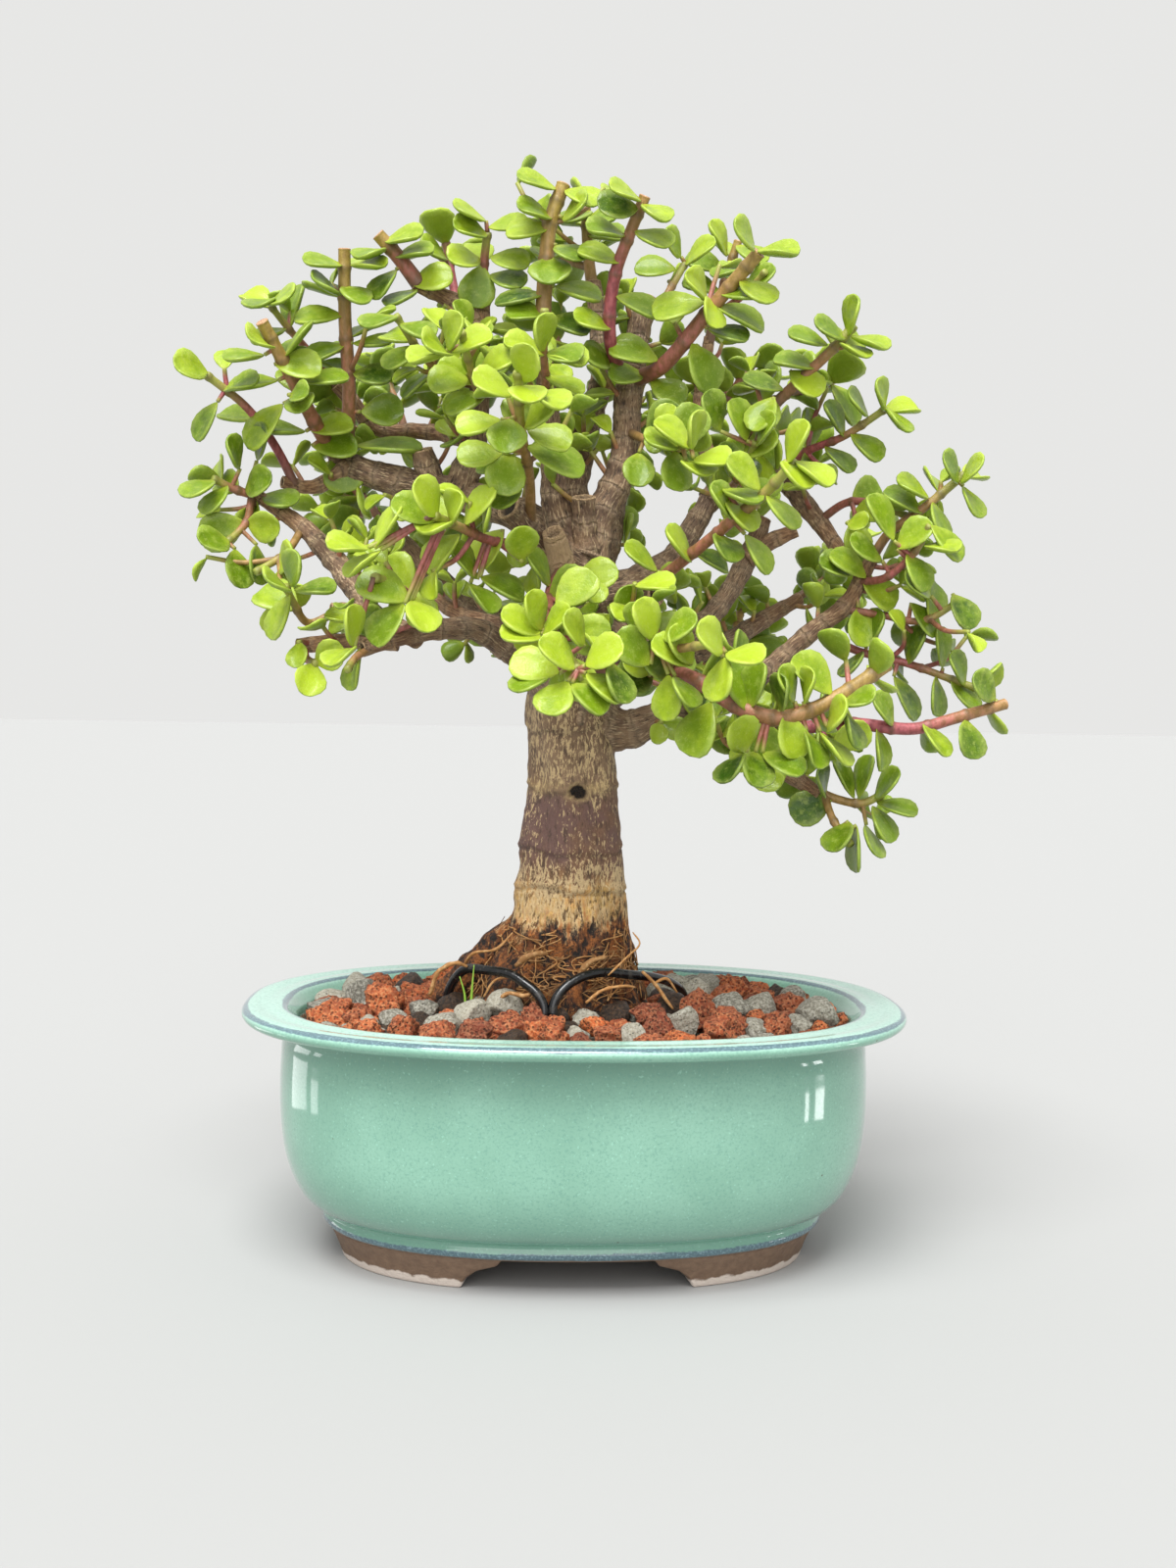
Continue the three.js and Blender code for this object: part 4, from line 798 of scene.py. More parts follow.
def make_foot(material):
    """A ring that widens as it climbs. Its rounded lower edge rises into a bracket arch on each side of
    the oval: the arch height goes by the way in from the nearest foot."""
    turns = even_turns(FOOT_COLUMNS)
    walls = []
    for (ground, top), way in ((FOOT_OUTER, 1), (FOOT_INNER, -1)):
        x, y = oval(float(ground), turns)
        low = np.interp(np.maximum(FRONT_ARCH - np.abs(x), END_ARCH - np.abs(y)), ARCH_IN, ARCH_UP)
        rings = []
        for rise, inset, share in FOOT_ROWS:
            height = mix(low + rise * FOOT_EDGE, FOOT_RISE, share)
            half = mix(ground, top, (height / FOOT_RISE) ** FOOT_SPLAY) - way * inset * FOOT_EDGE
            rings.append(points_at(*oval(half, turns), height))
        walls.append(rings)
    rings = walls[0] + walls[1][::-1]
    foot = Skin("thin")
    foot.add(rings, ring_faces(len(rings), FOOT_COLUMNS, closed=True))
    foot.object("foot_ring", material, "celadon_glaze", ["pot"])


# ---------------- gravel

WALL_INNER = 89.5
BED_BOTTOM, BED_EDGE, BED_CROWN = 71.3, 74.4, 79.6
BED_COLUMNS, BED_GAP = 150, 0.6
BED_SHARES = [0.99, 1.0, 0.995, *np.linspace(0.97, 0.02, 44)]  # rings of the bed, as shares of its size
BED_LUMPS = [[0.8, 3.1, 3], [0.6, 1.7, 5]]  # [depth, size, seed]

STONE_TRIES = 5200
SMALL_STONE, STONE_SPREAD = 1.7, 4.6  # least radius, and how much larger the largest is
STONE_ROOM = 0.8  # how close two stones may come, share of touching
DARK_SHARE, DARK_NEAR_TRUNK, PUMICE_FROM = 0.07, 0.5, 0.74
# [times the ball of a stone is split, radius from, radius to]
STONE_DETAIL = [[1, 0, 2.3], [2, 2.3, 4], [3, 4, 99]]
FLAT_SIDES, FLAT_DEPTHS = 9, (0.55, 0.9)
COARSE_RELIEF, FINE_RELIEF = (0.05, 0.13), (0.035, 0.15)  # of pumice and of lava
STONE_STRETCH, STONE_SINK = (0.82, 1.22), (0.35, 0.7)

# Stones picked out along the front edge and beside the flare: [x, y, radius, kind, tone, tallness].
CHOSEN_STONES = [
    [-42, -42, 6.2, 0.5, 0.5, 0.75], [-32, -40, 5, 0, 0.55, 0.8], [-21.5, -41, 5.6, 0, 0.4, 0.8],
    [-14.5, -46, 4.6, 0, 0.85, 0.8], [-9.5, -43, 4, 0, 0.6, 0.9], [-1.5, -47, 4.4, 0.5, 0.8, 0.8],
    [5, -41, 5, 0, 1, 0.8], [12.5, -40, 4.3, 0, 0.5, 0.9], [16, -45, 4.8, 0.5, 0.95, 0.8],
    [24, -44, 5.2, 0, 0.1, 0.9], [31.5, -43, 5, 0.5, 0.6, 1.35], [44, -42, 9.6, 0, 0.45, 0.72],
    [50, -48, 3.6, 0.5, 0.45, 0.8], [55.5, -46, 3.8, 0.5, 0.35, 0.9], [38.5, -26, 6.5, 0, 0.3, 0.9],
    [28, -31, 4, 0.5, 0.35, 0.9], [22, -32, 5.5, 0, 0.15, 0.9], [-3.5, -36, 3.4, 1, 0.4, 0.9],
    [-56, -36, 5, 0, 0.5, 0.8], [-50, -28, 4.2, 1, 0.3, 0.7], [62, -36, 5.5, 0, 0.35, 0.8],
    [70, -28, 4.6, 0.5, 0.5, 0.8], [-66, -30, 4.6, 0.5, 0.7, 0.8], [57, -28, 4.2, 0, 0.7, 0.8],
]
FLARE = [-4, -2, 30, 25]  # no small stones inside this oval round the trunk: x, y, half length, depth


def from_flare(x, y):
    """Distance from the middle of the flare, as a share of its oval."""
    return np.hypot((x - FLARE[0]) / FLARE[2], (y - FLARE[1]) / FLARE[3])


def bed_level(x, y):
    """Height of the gravel without its stones: a low mound that falls by the square of the distance."""
    reach = (np.abs(x) / WALL_INNER) ** FULLNESS + (np.abs(y) / (WALL_INNER - SETBACK)) ** FULLNESS
    return mix(BED_CROWN, BED_EDGE, np.clip(reach, 0, 1) ** (2 / FULLNESS))


def ball(level):
    """Points and faces of a sphere of radius 1: a solid of twenty triangles, each split in four level
    times."""
    golden = (1 + 5 ** 0.5) / 2
    corners = []
    for a in (-1, 1):
        for b in (-golden, golden):
            corners += [[0, a, b], [a, b, 0], [b, 0, a]]
    points = unit(np.array(corners, float))
    apart = np.linalg.norm(points[:, None] - points[None], axis=2)
    near = (apart < 1.1) & (apart > 0.1)
    faces = np.array([
        (i, j, k) for i in range(12) for j in range(i + 1, 12) for k in range(j + 1, 12)
        if near[i, j] and near[j, k] and near[i, k]
    ])
    a, b, c = (points[faces[:, i]] for i in range(3))
    inward = np.sum(np.cross(b - a, c - a) * a, axis=1) < 0
    faces[inward] = faces[inward][:, ::-1]
    for _ in range(level):
        edges = np.sort(np.concatenate([faces[:, [0, 1]], faces[:, [1, 2]], faces[:, [2, 0]]]), axis=1)
        pairs, back = np.unique(edges, axis=0, return_inverse=True)
        ab, bc, ca = (back.ravel() + len(points)).reshape(3, -1)
        points = np.concatenate([points, unit(points[pairs[:, 0]] + points[pairs[:, 1]])])
        a, b, c = faces.T
        split = ((a, ab, ca), (b, bc, ab), (c, ca, bc), (ab, bc, ca))
        faces = np.concatenate([np.stack(three, 1) for three in split])
    return points, faces


def place_stones():
    """The chosen stones, then drawn ones from large to small, each dropped if no stone is there yet.
    Rows are x, y, radius, kind, tone and tallness."""
    rng = np.random.default_rng(41)
    stones = np.array(CHOSEN_STONES, float)
    radii = np.sort(SMALL_STONE + STONE_SPREAD * rng.random(STONE_TRIES) ** 2.0)[::-1]
    turn, reach = rng.random(STONE_TRIES) * 2 * np.pi, rng.random(STONE_TRIES) ** 0.5
    kinds, tones, heights = rng.random(STONE_TRIES), rng.random(STONE_TRIES), rng.random(STONE_TRIES)
    for i, radius in enumerate(radii):
        half = WALL_INNER - radius * 0.9
        x, y = oval(reach[i] * half, turn[i], reach[i] * (half - SETBACK))
        away = from_flare(x, y)
        if away < 0.8 or (away < 1.1 and radius > 3.2):
            continue
        if np.any(np.hypot(stones[:, 0] - x, stones[:, 1] - y) < STONE_ROOM * (stones[:, 2] + radius)):
            continue
        dark = kinds[i] < (DARK_NEAR_TRUNK if away < 1.45 else DARK_SHARE)
        kind = 1.0 if dark else (0.5 if kinds[i] > PUMICE_FROM else 0.0)
        stones = np.concatenate([stones, [[x, y, radius, kind, tones[i], mix(0.65, 1.05, heights[i])]]])
    return stones


def shape_stones(points, stones, rng):
    """Points of each stone: those of a ball moved by lumps, cut flat on some sides, moved by two finer
    sizes of lumps, stretched and turned by drawn amounts, and sunk a drawn way into the bed."""
    x, y, radius, kind, _, tallness = stones.T
    count = len(stones)
    seeds = rng.random((count, 1, 3)) * 900
    shape = points * (1 + 0.2 * lumps(points * 1.1 + seeds, 1))[..., None]
    for _ in range(FLAT_SIDES):
        flat = unit(rng.normal(size=(count, 3)))
        over = np.einsum("nij,nj->ni", shape, flat) - rng.uniform(*FLAT_DEPTHS, count)[:, None]
        shape -= 0.95 * np.maximum(over, 0)[..., None] * flat[:, None]
    lava = (kind < 0.25).astype(int)
    coarse = np.array(COARSE_RELIEF)[lava][:, None] * lumps(points * 3.1 + seeds, 1, 2)
    fine = np.array(FINE_RELIEF)[lava][:, None] * lumps(points * 5.7 + seeds, 1, 3)
    shape = shape * (1 + coarse + fine)[..., None]
    shape *= rng.uniform(*STONE_STRETCH, (count, 1, 3))
    axes = unit(rng.normal(size=(count, 3)))
    angle = rng.random(count)[:, None, None] * 2 * np.pi
    across = np.cross(axes[:, None], shape)
    along = np.einsum("nij,nj->ni", shape, axes)[..., None] * axes[:, None]
    shape = shape * np.cos(angle) + across * np.sin(angle) + along * (1 - np.cos(angle))
    shape *= radius[:, None, None]
    shape[..., 2] *= tallness[:, None]
    sunk = shape[..., 2].min(1) * rng.uniform(*STONE_SINK, count)
    return shape + points_at(x, y, bed_level(x, y) - sunk)[:, None]


def make_gravel():
    """Loose stones, larger ones with more faces, on a bed of grit whose rings carry two sizes of lumps."""
    stones = place_stones()
    rng = np.random.default_rng(7)
    skin = Skin("kind", "tone")
    for level, low, high in STONE_DETAIL:
        points, faces = ball(level)
        some = stones[(stones[:, 2] >= low) & (stones[:, 2] < high)]
        placed = shape_stones(points, some, rng)
        faces = (faces + np.arange(len(some))[:, None, None] * len(points)).reshape(-1, 3)
        kind, tone = np.repeat(some[:, 3:5], len(points), axis=0).T
        skin.add(placed, None, faces, kind=kind, tone=tone)
    material = porous_stone()
    skin.object("gravel_stones", material, "lava_gravel", ["gravel"])

    turns = even_turns(BED_COLUMNS)
    rings = []
    for i, share in enumerate(BED_SHARES):
        half = WALL_INNER - BED_GAP
        x, y = oval(share * half, turns, share * (half - SETBACK))
        ring = points_at(x, y, BED_BOTTOM + 0.4 * i if i < 2 else bed_level(x, y))
        if i >= 2:
            ring[:, 2] += all_lumps(ring, BED_LUMPS) - 0.3
        rings.append(ring)
    rings = np.array(rings)
    damp = from_flare(rings[..., 0], rings[..., 1]) < 1.5
    kind = np.where(damp, 1.0, smoothstep(-0.2, 0.5, lumps(rings, 6, 9)))
    bed = Skin("kind", "tone")
    bed.add_rings(rings, [0, 0, BED_BOTTOM], kind=kind, tone=0.35 + 0.3 * lumps(rings, 4, 2))
    bed.object("grit_bed", material, "lava_gravel", ["gravel"])


# ---------------- old wood and roots

# Trunk sections from the buried root ball to the whorl: [height, x, y, half width, half depth].
TRUNK = [
    [50, -2, 0, 14, 12], [66, -4, 0, 26, 22], [80, -6.5, 0, 29.5, 25], [92, -5.5, 0, 24, 21],
    [104, -4, 0, 20.2, 18.5], [112, -2.8, 0, 18, 17.6], [122, -2.2, 0, 17, 17], [141, -2.1, 0, 15.6, 16],
    [150, -1.8, 0, 14.8, 15], [168, -2.5, 0, 14.2, 14], [180, -3.2, 0, 14, 13.4], [193, -2.4, 1, 12.4, 12],
    [206, -1, 2, 10.2, 10], [219, 0, 3, 8.2, 8], [231, 0.5, 3, 6.6, 6.6],
]
TRUNK_FROM, TRUNK_TO, TRUNK_STEP, TRUNK_SIDES = 58, 231.1, 0.95, 110
RIB_HEIGHT, RIBS, RIB_TWIST = 0.045, 5, 0.06
# Relief of the skin. Lumps are [depth, size, seed], and a last grain number below 1 draws them out upwards.
TRUNK_LUMPS, FLARE_LUMPS = [[0.9, 11, 1], [0.45, 4.5, 2], [0.2, 1.8, 3]], [[2.2, 9, 12], [1.2, 4, 14]]
FISSURE_GRAIN, PLATE_GRAIN, CRUST_GRAIN = [1, 1, 0.2], [1, 1, 0.5], [1, 1, 0.6]
OLD_FROM_TO, FLARE_FROM_TO = (132, 110), (112, 92)  # heights between which they set in
RING_SCARS = [118.5, 130.9, 150.5, 170.3, 184, 196]
SCAR_WIDTH, SCAR_LIP_WIDTH, SCAR_LIP_ABOVE = 0.6, 1.1, 1.3
KNOT, KNOT_SHAPE = [-0.6, -15.5, 150.5], [1, 0.4, 1.25]
KNOT_EDGE, KNOT_LIP, KNOT_DEPTH = (3.1, 1.7), 3.2, 2.2  # radii of its slope and of its lip, and depth

# Surface roots: [direction in degrees, reach, radius at the trunk].
ROOTS = [
    [182, 44, 6.4], [232, 36, 6.6], [280, 33, 7], [330, 32, 6.2], [20, 34, 5.6], [75, 36, 6.6],
    [130, 40, 6.6],
]
# Down each: [share of the reach, height, share of the radius].
ROOT_DROP = [[0.22, 106, 1], [0.6, 92, 0.8], [0.85, 82, 0.65], [1, 75, 0.35]]
ROOT_FLATTENING, ROOT_SIDES = 0.85, 26
ROOT_LUMPS = [[0.16, 6, 15], [0.12, 2.5, 16]]

# Old wood, each limb as points [x, y, z, radius] from where it leaves its parent.
LIMBS = {
    "leader": [[1, 1, 226, 6.6], [6, 3, 241, 5.2], [11, 5, 251, 5], [14, 7, 263, 4.6], [15, 9, 282, 4.4],
        [20, 10, 313, 4]],
    "backLeader": [[0, 5, 228, 6], [-2, 16, 252, 5], [2, 24, 271, 4.4], [7, 29, 289, 3.8], [4, 34, 323, 3]],
    "leftLeader": [[-4, 1, 228, 5.2], [-9, -3, 245, 4.4], [-10, -5, 262, 3.6], [-13, -6, 285, 2.8],
        [-14, -6, 298, 2.3]],
    "centreStub": [[1, -2, 229, 4.2], [0, -7, 245, 3.5]],
    "frontLeftStub": [[-1, -2, 222, 5.2], [-15, -18, 231, 4.3], [-24, -28, 239, 4]],
    "paleStub": [[-3, -4, 214, 5], [-7, -18, 223, 3.8], [-10, -26, 232, 3.3]],
    "frontRightStub": [[0, -4, 206, 6], [10, -15, 213, 4.6], [22, -25, 214, 4.3]],
    "leftUpper": [[-1, 3, 222, 7], [-15, 9, 238, 6], [-27, 13, 244, 5.4], [-40, 16, 248, 5.3],
        [-64, 20, 253, 5], [-83, 24, 259, 4]],
    "leftThin": [[-78, 22, 257, 3], [-90, 20, 250, 2.4], [-99, 16, 251, 2]],
    "leftStubUp": [[-50, 18, 251, 4.4], [-53, 15, 262, 3.4]],
    "leftVertical": [[-41, 16, 248, 4.8], [-36, 14, 262, 4.1], [-34, 11, 280, 3.3], [-34, 10, 303, 3]],
    "leftForkOut": [[-34, 10, 298, 3.2], [-38, 9, 306, 3.1], [-55, 6, 315, 2.4]],
    "leftForkUp": [[-34, 10, 300, 2.8], [-33, 11, 313, 2]],
    "leftBack": [[-36, 14, 265, 3.2], [-42, 28, 269, 2.8], [-55, 38, 272, 2.7], [-69, 42, 273, 2.8],
        [-83, 36, 287, 2.6]],
    "leftLow": [[-5, -2, 184, 8], [-21, -8, 195, 4.4], [-34, -15, 202, 3.6], [-44, -21, 202, 3.3],
        [-68, -33, 195, 2.3]],
    "leftLowInner": [[-14, -4, 197, 5], [-27, 2, 204, 3], [-40, 10, 208, 2.5], [-53, 16, 217, 2]],
    "leftLowRise": [[-52, -26, 199, 3], [-65, -16, 205, 3.5], [-74, -7, 217, 4], [-91, 5, 235, 3],
        [-107, 9, 246, 1.9]],
    "leftStubLow": [[-66, -15, 206, 3.2], [-79, -19, 207, 2.7]],
    "leftStubEnd": [[-58, -28, 198, 2.8], [-76, -25, 197, 2.6], [-89, -22, 196, 2.2]],
    "rightBackLimb": [[2, 4, 211, 8], [16, 15, 219, 5], [31, 25, 228, 4.2], [42, 34, 244, 3.8],
        [54, 44, 266, 2.9]],
    "rightArch": [[45, 37, 250, 3.4], [61, 40, 261, 3.4], [71, 37, 258, 3.5], [79, 33, 249, 3.3],
        [91, 22, 230, 2.4]],
    "rightInner": [[3, 2, 199, 8.5], [23, 13, 201, 4.5], [37, 20, 203, 4], [46, 26, 210, 3.7],
        [60, 36, 231, 3.4], [65, 38, 244, 2.8]],
    "rightInnerStub": [[59, 35, 230, 3], [69, 35, 237, 2.8], [76, 34, 240, 2.2]],
    "rightLow": [[0, 0, 173, 9.5], [16, -2, 171, 6.2], [28, -4, 175, 4.7], [46, -5, 171, 3.7],
        [59, -6, 163, 3.2], [78, -8, 151, 2.1]],
    "rightMid": [[28, -3, 174, 4.3], [47, 5, 180, 3.7], [62, 10, 190, 3.4], [79, 12, 205, 3.1],
        [88, 10, 212, 2.9], [97, 4, 229, 2.1]],
    "rightRise": [[49, 39, 258, 3], [43, 42, 275, 2.8], [45, 40, 307, 1.9]],
    "rightReach": [[53, 43, 264, 2.9], [59, 26, 273, 2.7], [64, 8, 280, 2.2]],
    "backCentre": [[0, 4, 205, 7], [6, 28, 218, 5], [12, 50, 236, 4.2], [18, 74, 268, 2.6]],
    "backLeft": [[-2, 3, 190, 8], [-18, 28, 202, 4.8], [-38, 46, 214, 4], [-68, 64, 242, 2.5]],
    "backRight": [[1, 3, 181, 8], [22, 28, 188, 4.6], [44, 46, 196, 4], [82, 60, 218, 2.4]],
    "backLow": [[-2, 3, 174, 9], [-8, 32, 178, 4.2], [-12, 56, 182, 3.2], [-14, 74, 190, 2.3]],
}
LIMB_STEP = 1.1
LIMB_LUMPS = [[0.1, 7, 21], [0.08, 3, 22], [0.05, 1.4, 23]]
LIMB_SWELL, LIMB_SWELL_REACH = 0.35, 1.3  # where a limb leaves its parent, as shares of its radius
SCAR_EVERY = 8.5  # way between the ring scars of a limb
SCAR_SWELL, SCAR_SWELL_WIDTH = 0.07, 1.5
YOUNG_FROM_TO = 3.6, 2.2  # radii between which the wood turns young
LIMB_CUT = [[1.03, 0.12], [0.9, 0.2], [0.72, 0.1], [0.5, -0.25]]  # share of the end's width, rise
LIMB_HOLLOW = -0.4  # rise of the middle of the cut
PALE_LIMB = "paleStub"

# Black tubing over the front of the root flare.
TIES = {
    "tie_left": [[-42, -14, 52], [-42, -14, 76], [-41, -15, 87], [-36.5, -18, 93.5], [-28.5, -24, 94.5],
        [-21.3, -28, 93.9], [-17, -31, 91.6], [-13.6, -33, 89.2], [-11.4, -34.5, 86], [-11.4, -35.5, 78],
        [-11.4, -35.5, 52]],
    "tie_right": [[-7.9, -35.5, 52], [-7.9, -35.5, 78], [-7.9, -34.5, 86.5], [-5, -33, 90.4],
        [-0.2, -31, 93.4], [4, -29, 94.5], [9, -26, 94.5], [16, -22, 93.2], [25, -14, 91], [32, -6, 87.5],
        [36, 0, 83], [37, 3, 74], [37, 3, 52]],
}
TIE_RADIUS, TIE_SIDES = 1.5, 14

# Straw-coloured roots seen over the gravel: [radius, tone, points].
LOOSE_ROOTS = [
    [1.7, 0.75, [[-47, -20, 86], [-44, -22, 94], [-39, -22, 96.5], [-35, -20, 95]]],
    [1.5, 0.7, [[-27, -29, 84], [-22, -31, 88.5], [-17, -32, 88], [-12, -31, 91]]],
    [1.2, 0.9, [[2, -33, 86], [7, -33, 90], [13, -31, 91], [18, -27, 90]]],
    [1.3, 0.85, [[20, -27, 95], [24, -25, 91], [27, -25, 87], [30, -26, 83]]],
    [1.0, 0.9, [[24, -25, 91], [28, -22, 92], [32, -20, 87]]],
    [0.8, 0.95, [[9, -29, 94], [15, -29, 100], [19, -27, 104], [17, -24, 107]]],
    [2.4, 0.55, [[-20, -24, 96], [-15, -26, 100], [-10, -24, 100]]],
    [2.2, 0.6, [[0, -25, 94], [4, -26, 98], [9, -23, 99]]],
    [1.1, 0.8, [[-38, -8, 90], [-33, -17, 99], [-26, -21, 101], [-21, -20, 106]]],
    [0.9, 0.8, [[-30, -24, 86], [-26, -26, 92], [-20, -27, 93], [-14, -29, 88]]],
]
LOOSE_ALONG, LOOSE_THICK = [0, 0.2, 0.8, 1], [0.7, 1, 0.9, 0.5]  # share of the length and of the radius
LOOSE_SIZE = 0.45
CORD_STEP = 0.8
FIBRES, FIBRE_POINTS = 320, 15
FIBRE_TOPS, FIBRE_FALLS, FIBRE_RADII, FIBRE_LIFTS = (88, 108), (3, 16), (0.1, 0.3), (-0.3, 2.0)
GRAVEL_TOP = 80
GREEN_BLADES = [
    [[-34, -27, 82], [-33.5, -28.5, 90], [-33, -29, 97]],
    [[-35.5, -26, 82], [-36, -27, 88], [-37.5, -27, 93]],
]


TRUNK_LINE = smooth_path([[x, y, z, wide, deep] for z, x, y, wide, deep in TRUNK], 0.5)


def trunk_section(z):
    """[x, y, half width, half depth] of the trunk at these heights."""
    return [np.interp(z, TRUNK_LINE[:, 2], TRUNK_LINE[:, i]) for i in (0, 1, 3, 4)]


def make_trunk():
    """Ribbed column whose skin carries lumps, long fissures that fade upwards, a lumpy flare, ring scars
    and one dark knot, with the surface roots as tubes of the same skin."""
    z = np.arange(TRUNK_FROM, TRUNK_TO, TRUNK_STEP)
    x, y, wide, deep = [values[:, None] for values in trunk_section(z)]
    z, turn = z[:, None], full_turn(TRUNK_SIDES)[None, :]
    plain = points_at(wide * np.cos(turn), deep * np.sin(turn), z)
    old = smoothstep(*OLD_FROM_TO, z)
    plate = lumps(plain * PLATE_GRAIN, 7, 8)
    raised = all_lumps(plain, TRUNK_LUMPS)
    raised += (0.25 + 0.75 * old) * 0.7 * lumps(plain * FISSURE_GRAIN, 2.6, 4)
    raised += old * 1.6 * lumps(plain * CRUST_GRAIN, 8, 6) + 0.8 * np.maximum(plate - 0.2, 0)
    raised += smoothstep(*FLARE_FROM_TO, z) * all_lumps(plain, FLARE_LUMPS)
    scar = np.zeros_like(raised)
    for i, height in enumerate(RING_SCARS):
        above = z - (height + 0.9 * np.sin(turn * 2 + i) + 0.6 * np.sin(turn * 5 + 2 * i))
        line = bell(above, SCAR_WIDTH)
        raised += 0.45 * bell(above - SCAR_LIP_ABOVE, SCAR_LIP_WIDTH) - 0.5 * line
        scar += 0.8 * line
    rib = 1 + RIB_HEIGHT * np.cos(RIBS * turn + RIB_TWIST * z)
    rings = points_at(x + (wide * rib + raised) * np.cos(turn), y + (deep * rib + raised) * np.sin(turn), z)
    knot = np.linalg.norm((rings - KNOT) * KNOT_SHAPE, axis=-1) + 1.1 * lumps(rings, 2.4, 31)
    sink = smoothstep(*KNOT_EDGE, knot)
    lip = 0.8 * bell(knot - KNOT_LIP, 0.9)
    band = (0.5 + 0.5 * lumps(rings, 4, 33)) * bell(z - KNOT[2] - 1.5, 2)
    rings += (lip * 0.8 - sink * KNOT_DEPTH)[..., None] * points_at(np.cos(turn), np.sin(turn), 0)
    skin = Skin("scar", "pale", "knot")
    skin.add_rings(rings, scar=np.clip(scar, 0, 1), pale=np.maximum(lip, band) * 0.9, knot=sink)
    for degrees, reach, radius in ROOTS:
        out_x, out_y = reach * math.cos(math.radians(degrees)), reach * math.sin(math.radians(degrees))
        path = smooth_path([
            [TRUNK[2][1] + share * out_x, share * out_y * ROOT_FLATTENING, height, radius * thickness]
            for share, height, thickness in ROOT_DROP
        ], 1.2)
        rings = tube_rings(path, path[:, 3], ROOT_SIDES)
        skin.add_rings(roughened(rings, path, all_lumps(rings, ROOT_LUMPS)))
    skin.object("trunk_wood", old_bark(), "bark", ["trunk"])


def make_limbs():
    """Tapered tubes that swell where they leave their parent. Ring scars cross them at even steps, and
    each ends in a cut with a pale rim and a dark hollow."""
    skin = Skin("cut", "hollow", "young", "pale", "grain_x", "grain_y", "grain_z")
    for key, (name, points) in enumerate(LIMBS.items()):
        path = smooth_path(points, LIMB_STEP)
        first, last = points[0][3], points[-1][3]
        sides = 20 if first > 3.4 else 14
        way = np.arange(len(path)) * LIMB_STEP
        grain = way + SCAR_EVERY * (draw(key, 1, 1) + 40 * key)
        from_scar = (grain + SCAR_EVERY / 2) % SCAR_EVERY - SCAR_EVERY / 2
        radius = path[:, 3] * (1 + LIMB_SWELL * np.exp(-way / (LIMB_SWELL_REACH * first)))
        radius = radius * (1 + SCAR_SWELL * bell(from_scar, SCAR_SWELL_WIDTH))
        rings = tube_rings(path, radius, sides)
        rings = roughened(rings, path, all_lumps(rings, LIMB_LUMPS))
        rings = cut_off(rings, path, LIMB_CUT, last)
        ahead = unit(path[-1, :3] - path[-3, :3])
        from_end = np.arange(len(rings))[::-1][:, None]
        young = np.append(smoothstep(*YOUNG_FROM_TO, path[:, 3]), np.ones(len(LIMB_CUT)))
        along = np.append(grain, grain[-1] + 0.3 * np.arange(len(LIMB_CUT)))
        turn = full_turn(sides)
        skin.add_rings(
            rings, None, path[-1, :3] + LIMB_HOLLOW * ahead * last,
            cut=(from_end < len(LIMB_CUT)) * 1.0,
            hollow=np.clip(1 - from_end / 1.6, 0, 1) * (0.4 if name == PALE_LIMB else 1),
            young=young[:, None], pale=float(name == PALE_LIMB),
            grain_x=first * np.cos(turn), grain_y=first * np.sin(turn), grain_z=along[:, None],
        )
    skin.object("limbs", limb_bark(), "bark", ["trunk"])


def make_ties():
    """Round tubes along the two lengths of tubing."""
    material = black_tubing()
    for name, points in TIES.items():
        path = smooth_path(points, CORD_STEP)
        skin = Skin()
        skin.add_rings(tube_rings(path, np.full(len(path), TIE_RADIUS), TIE_SIDES))
        skin.object(f"{name}_tube", material, "black_tubing", [name])


def make_fibres():
    """Tangled dry roots and two blades of grass. Each fibre runs a drawn way round and down the flare, a
    little outside it, in two drawn waves. Its loose roots are lumpy tubes."""
    skin = Skin("tone")
    rng = np.random.default_rng(11)
    along = np.linspace(0, 1, FIBRE_POINTS)
    for _ in range(FIBRES):
        start, drift = rng.random() * 2 * np.pi, rng.normal() * 0.45
        top, fall = rng.uniform(*FIBRE_TOPS), rng.uniform(*FIBRE_FALLS)
        turn = start + drift * along + 0.12 * np.sin(along * rng.uniform(4, 11) + rng.random() * 6)
        z = top - fall * along + 1.4 * np.sin(along * rng.uniform(3, 9) + rng.random() * 6)
        z = np.maximum(z, GRAVEL_TOP)
        x, y, wide, deep = trunk_section(z)
        lift = rng.uniform(*FIBRE_LIFTS) + 1.2 * np.sin(np.pi * along) * rng.random()
        path = points_at(x + (wide + lift) * np.cos(turn), y + (deep + lift) * np.sin(turn), z)
        radius = rng.uniform(*FIBRE_RADII) * np.linspace(1, 0.6, FIBRE_POINTS)
        skin.add_rings(tube_rings(path, radius, 5), tone=rng.uniform(0, 1))
    for i, (radius, tone, points) in enumerate(LOOSE_ROOTS):
        path = smooth_path(points, CORD_STEP)
        size = LOOSE_SIZE * radius * np.interp(np.linspace(0, 1, len(path)), LOOSE_ALONG, LOOSE_THICK)
        rings = tube_rings(path, size, 10)
        skin.add_rings(roughened(rings, path, 0.3 * lumps(rings, 1.8, i)), tone=0.8 * tone)
    skin.object("root_fibres", fibre(), "bark", ["trunk"])
    blades = Skin()
    for points in GREEN_BLADES:
        path = smooth_path(points, CORD_STEP)
        blades.add_rings(tube_rings(path, np.linspace(0.55, 0.15, len(path)), 6))
    blades.object("grass_blades", blade_green(), "leaf", ["gravel"])


# ---------------- young stems and leaves

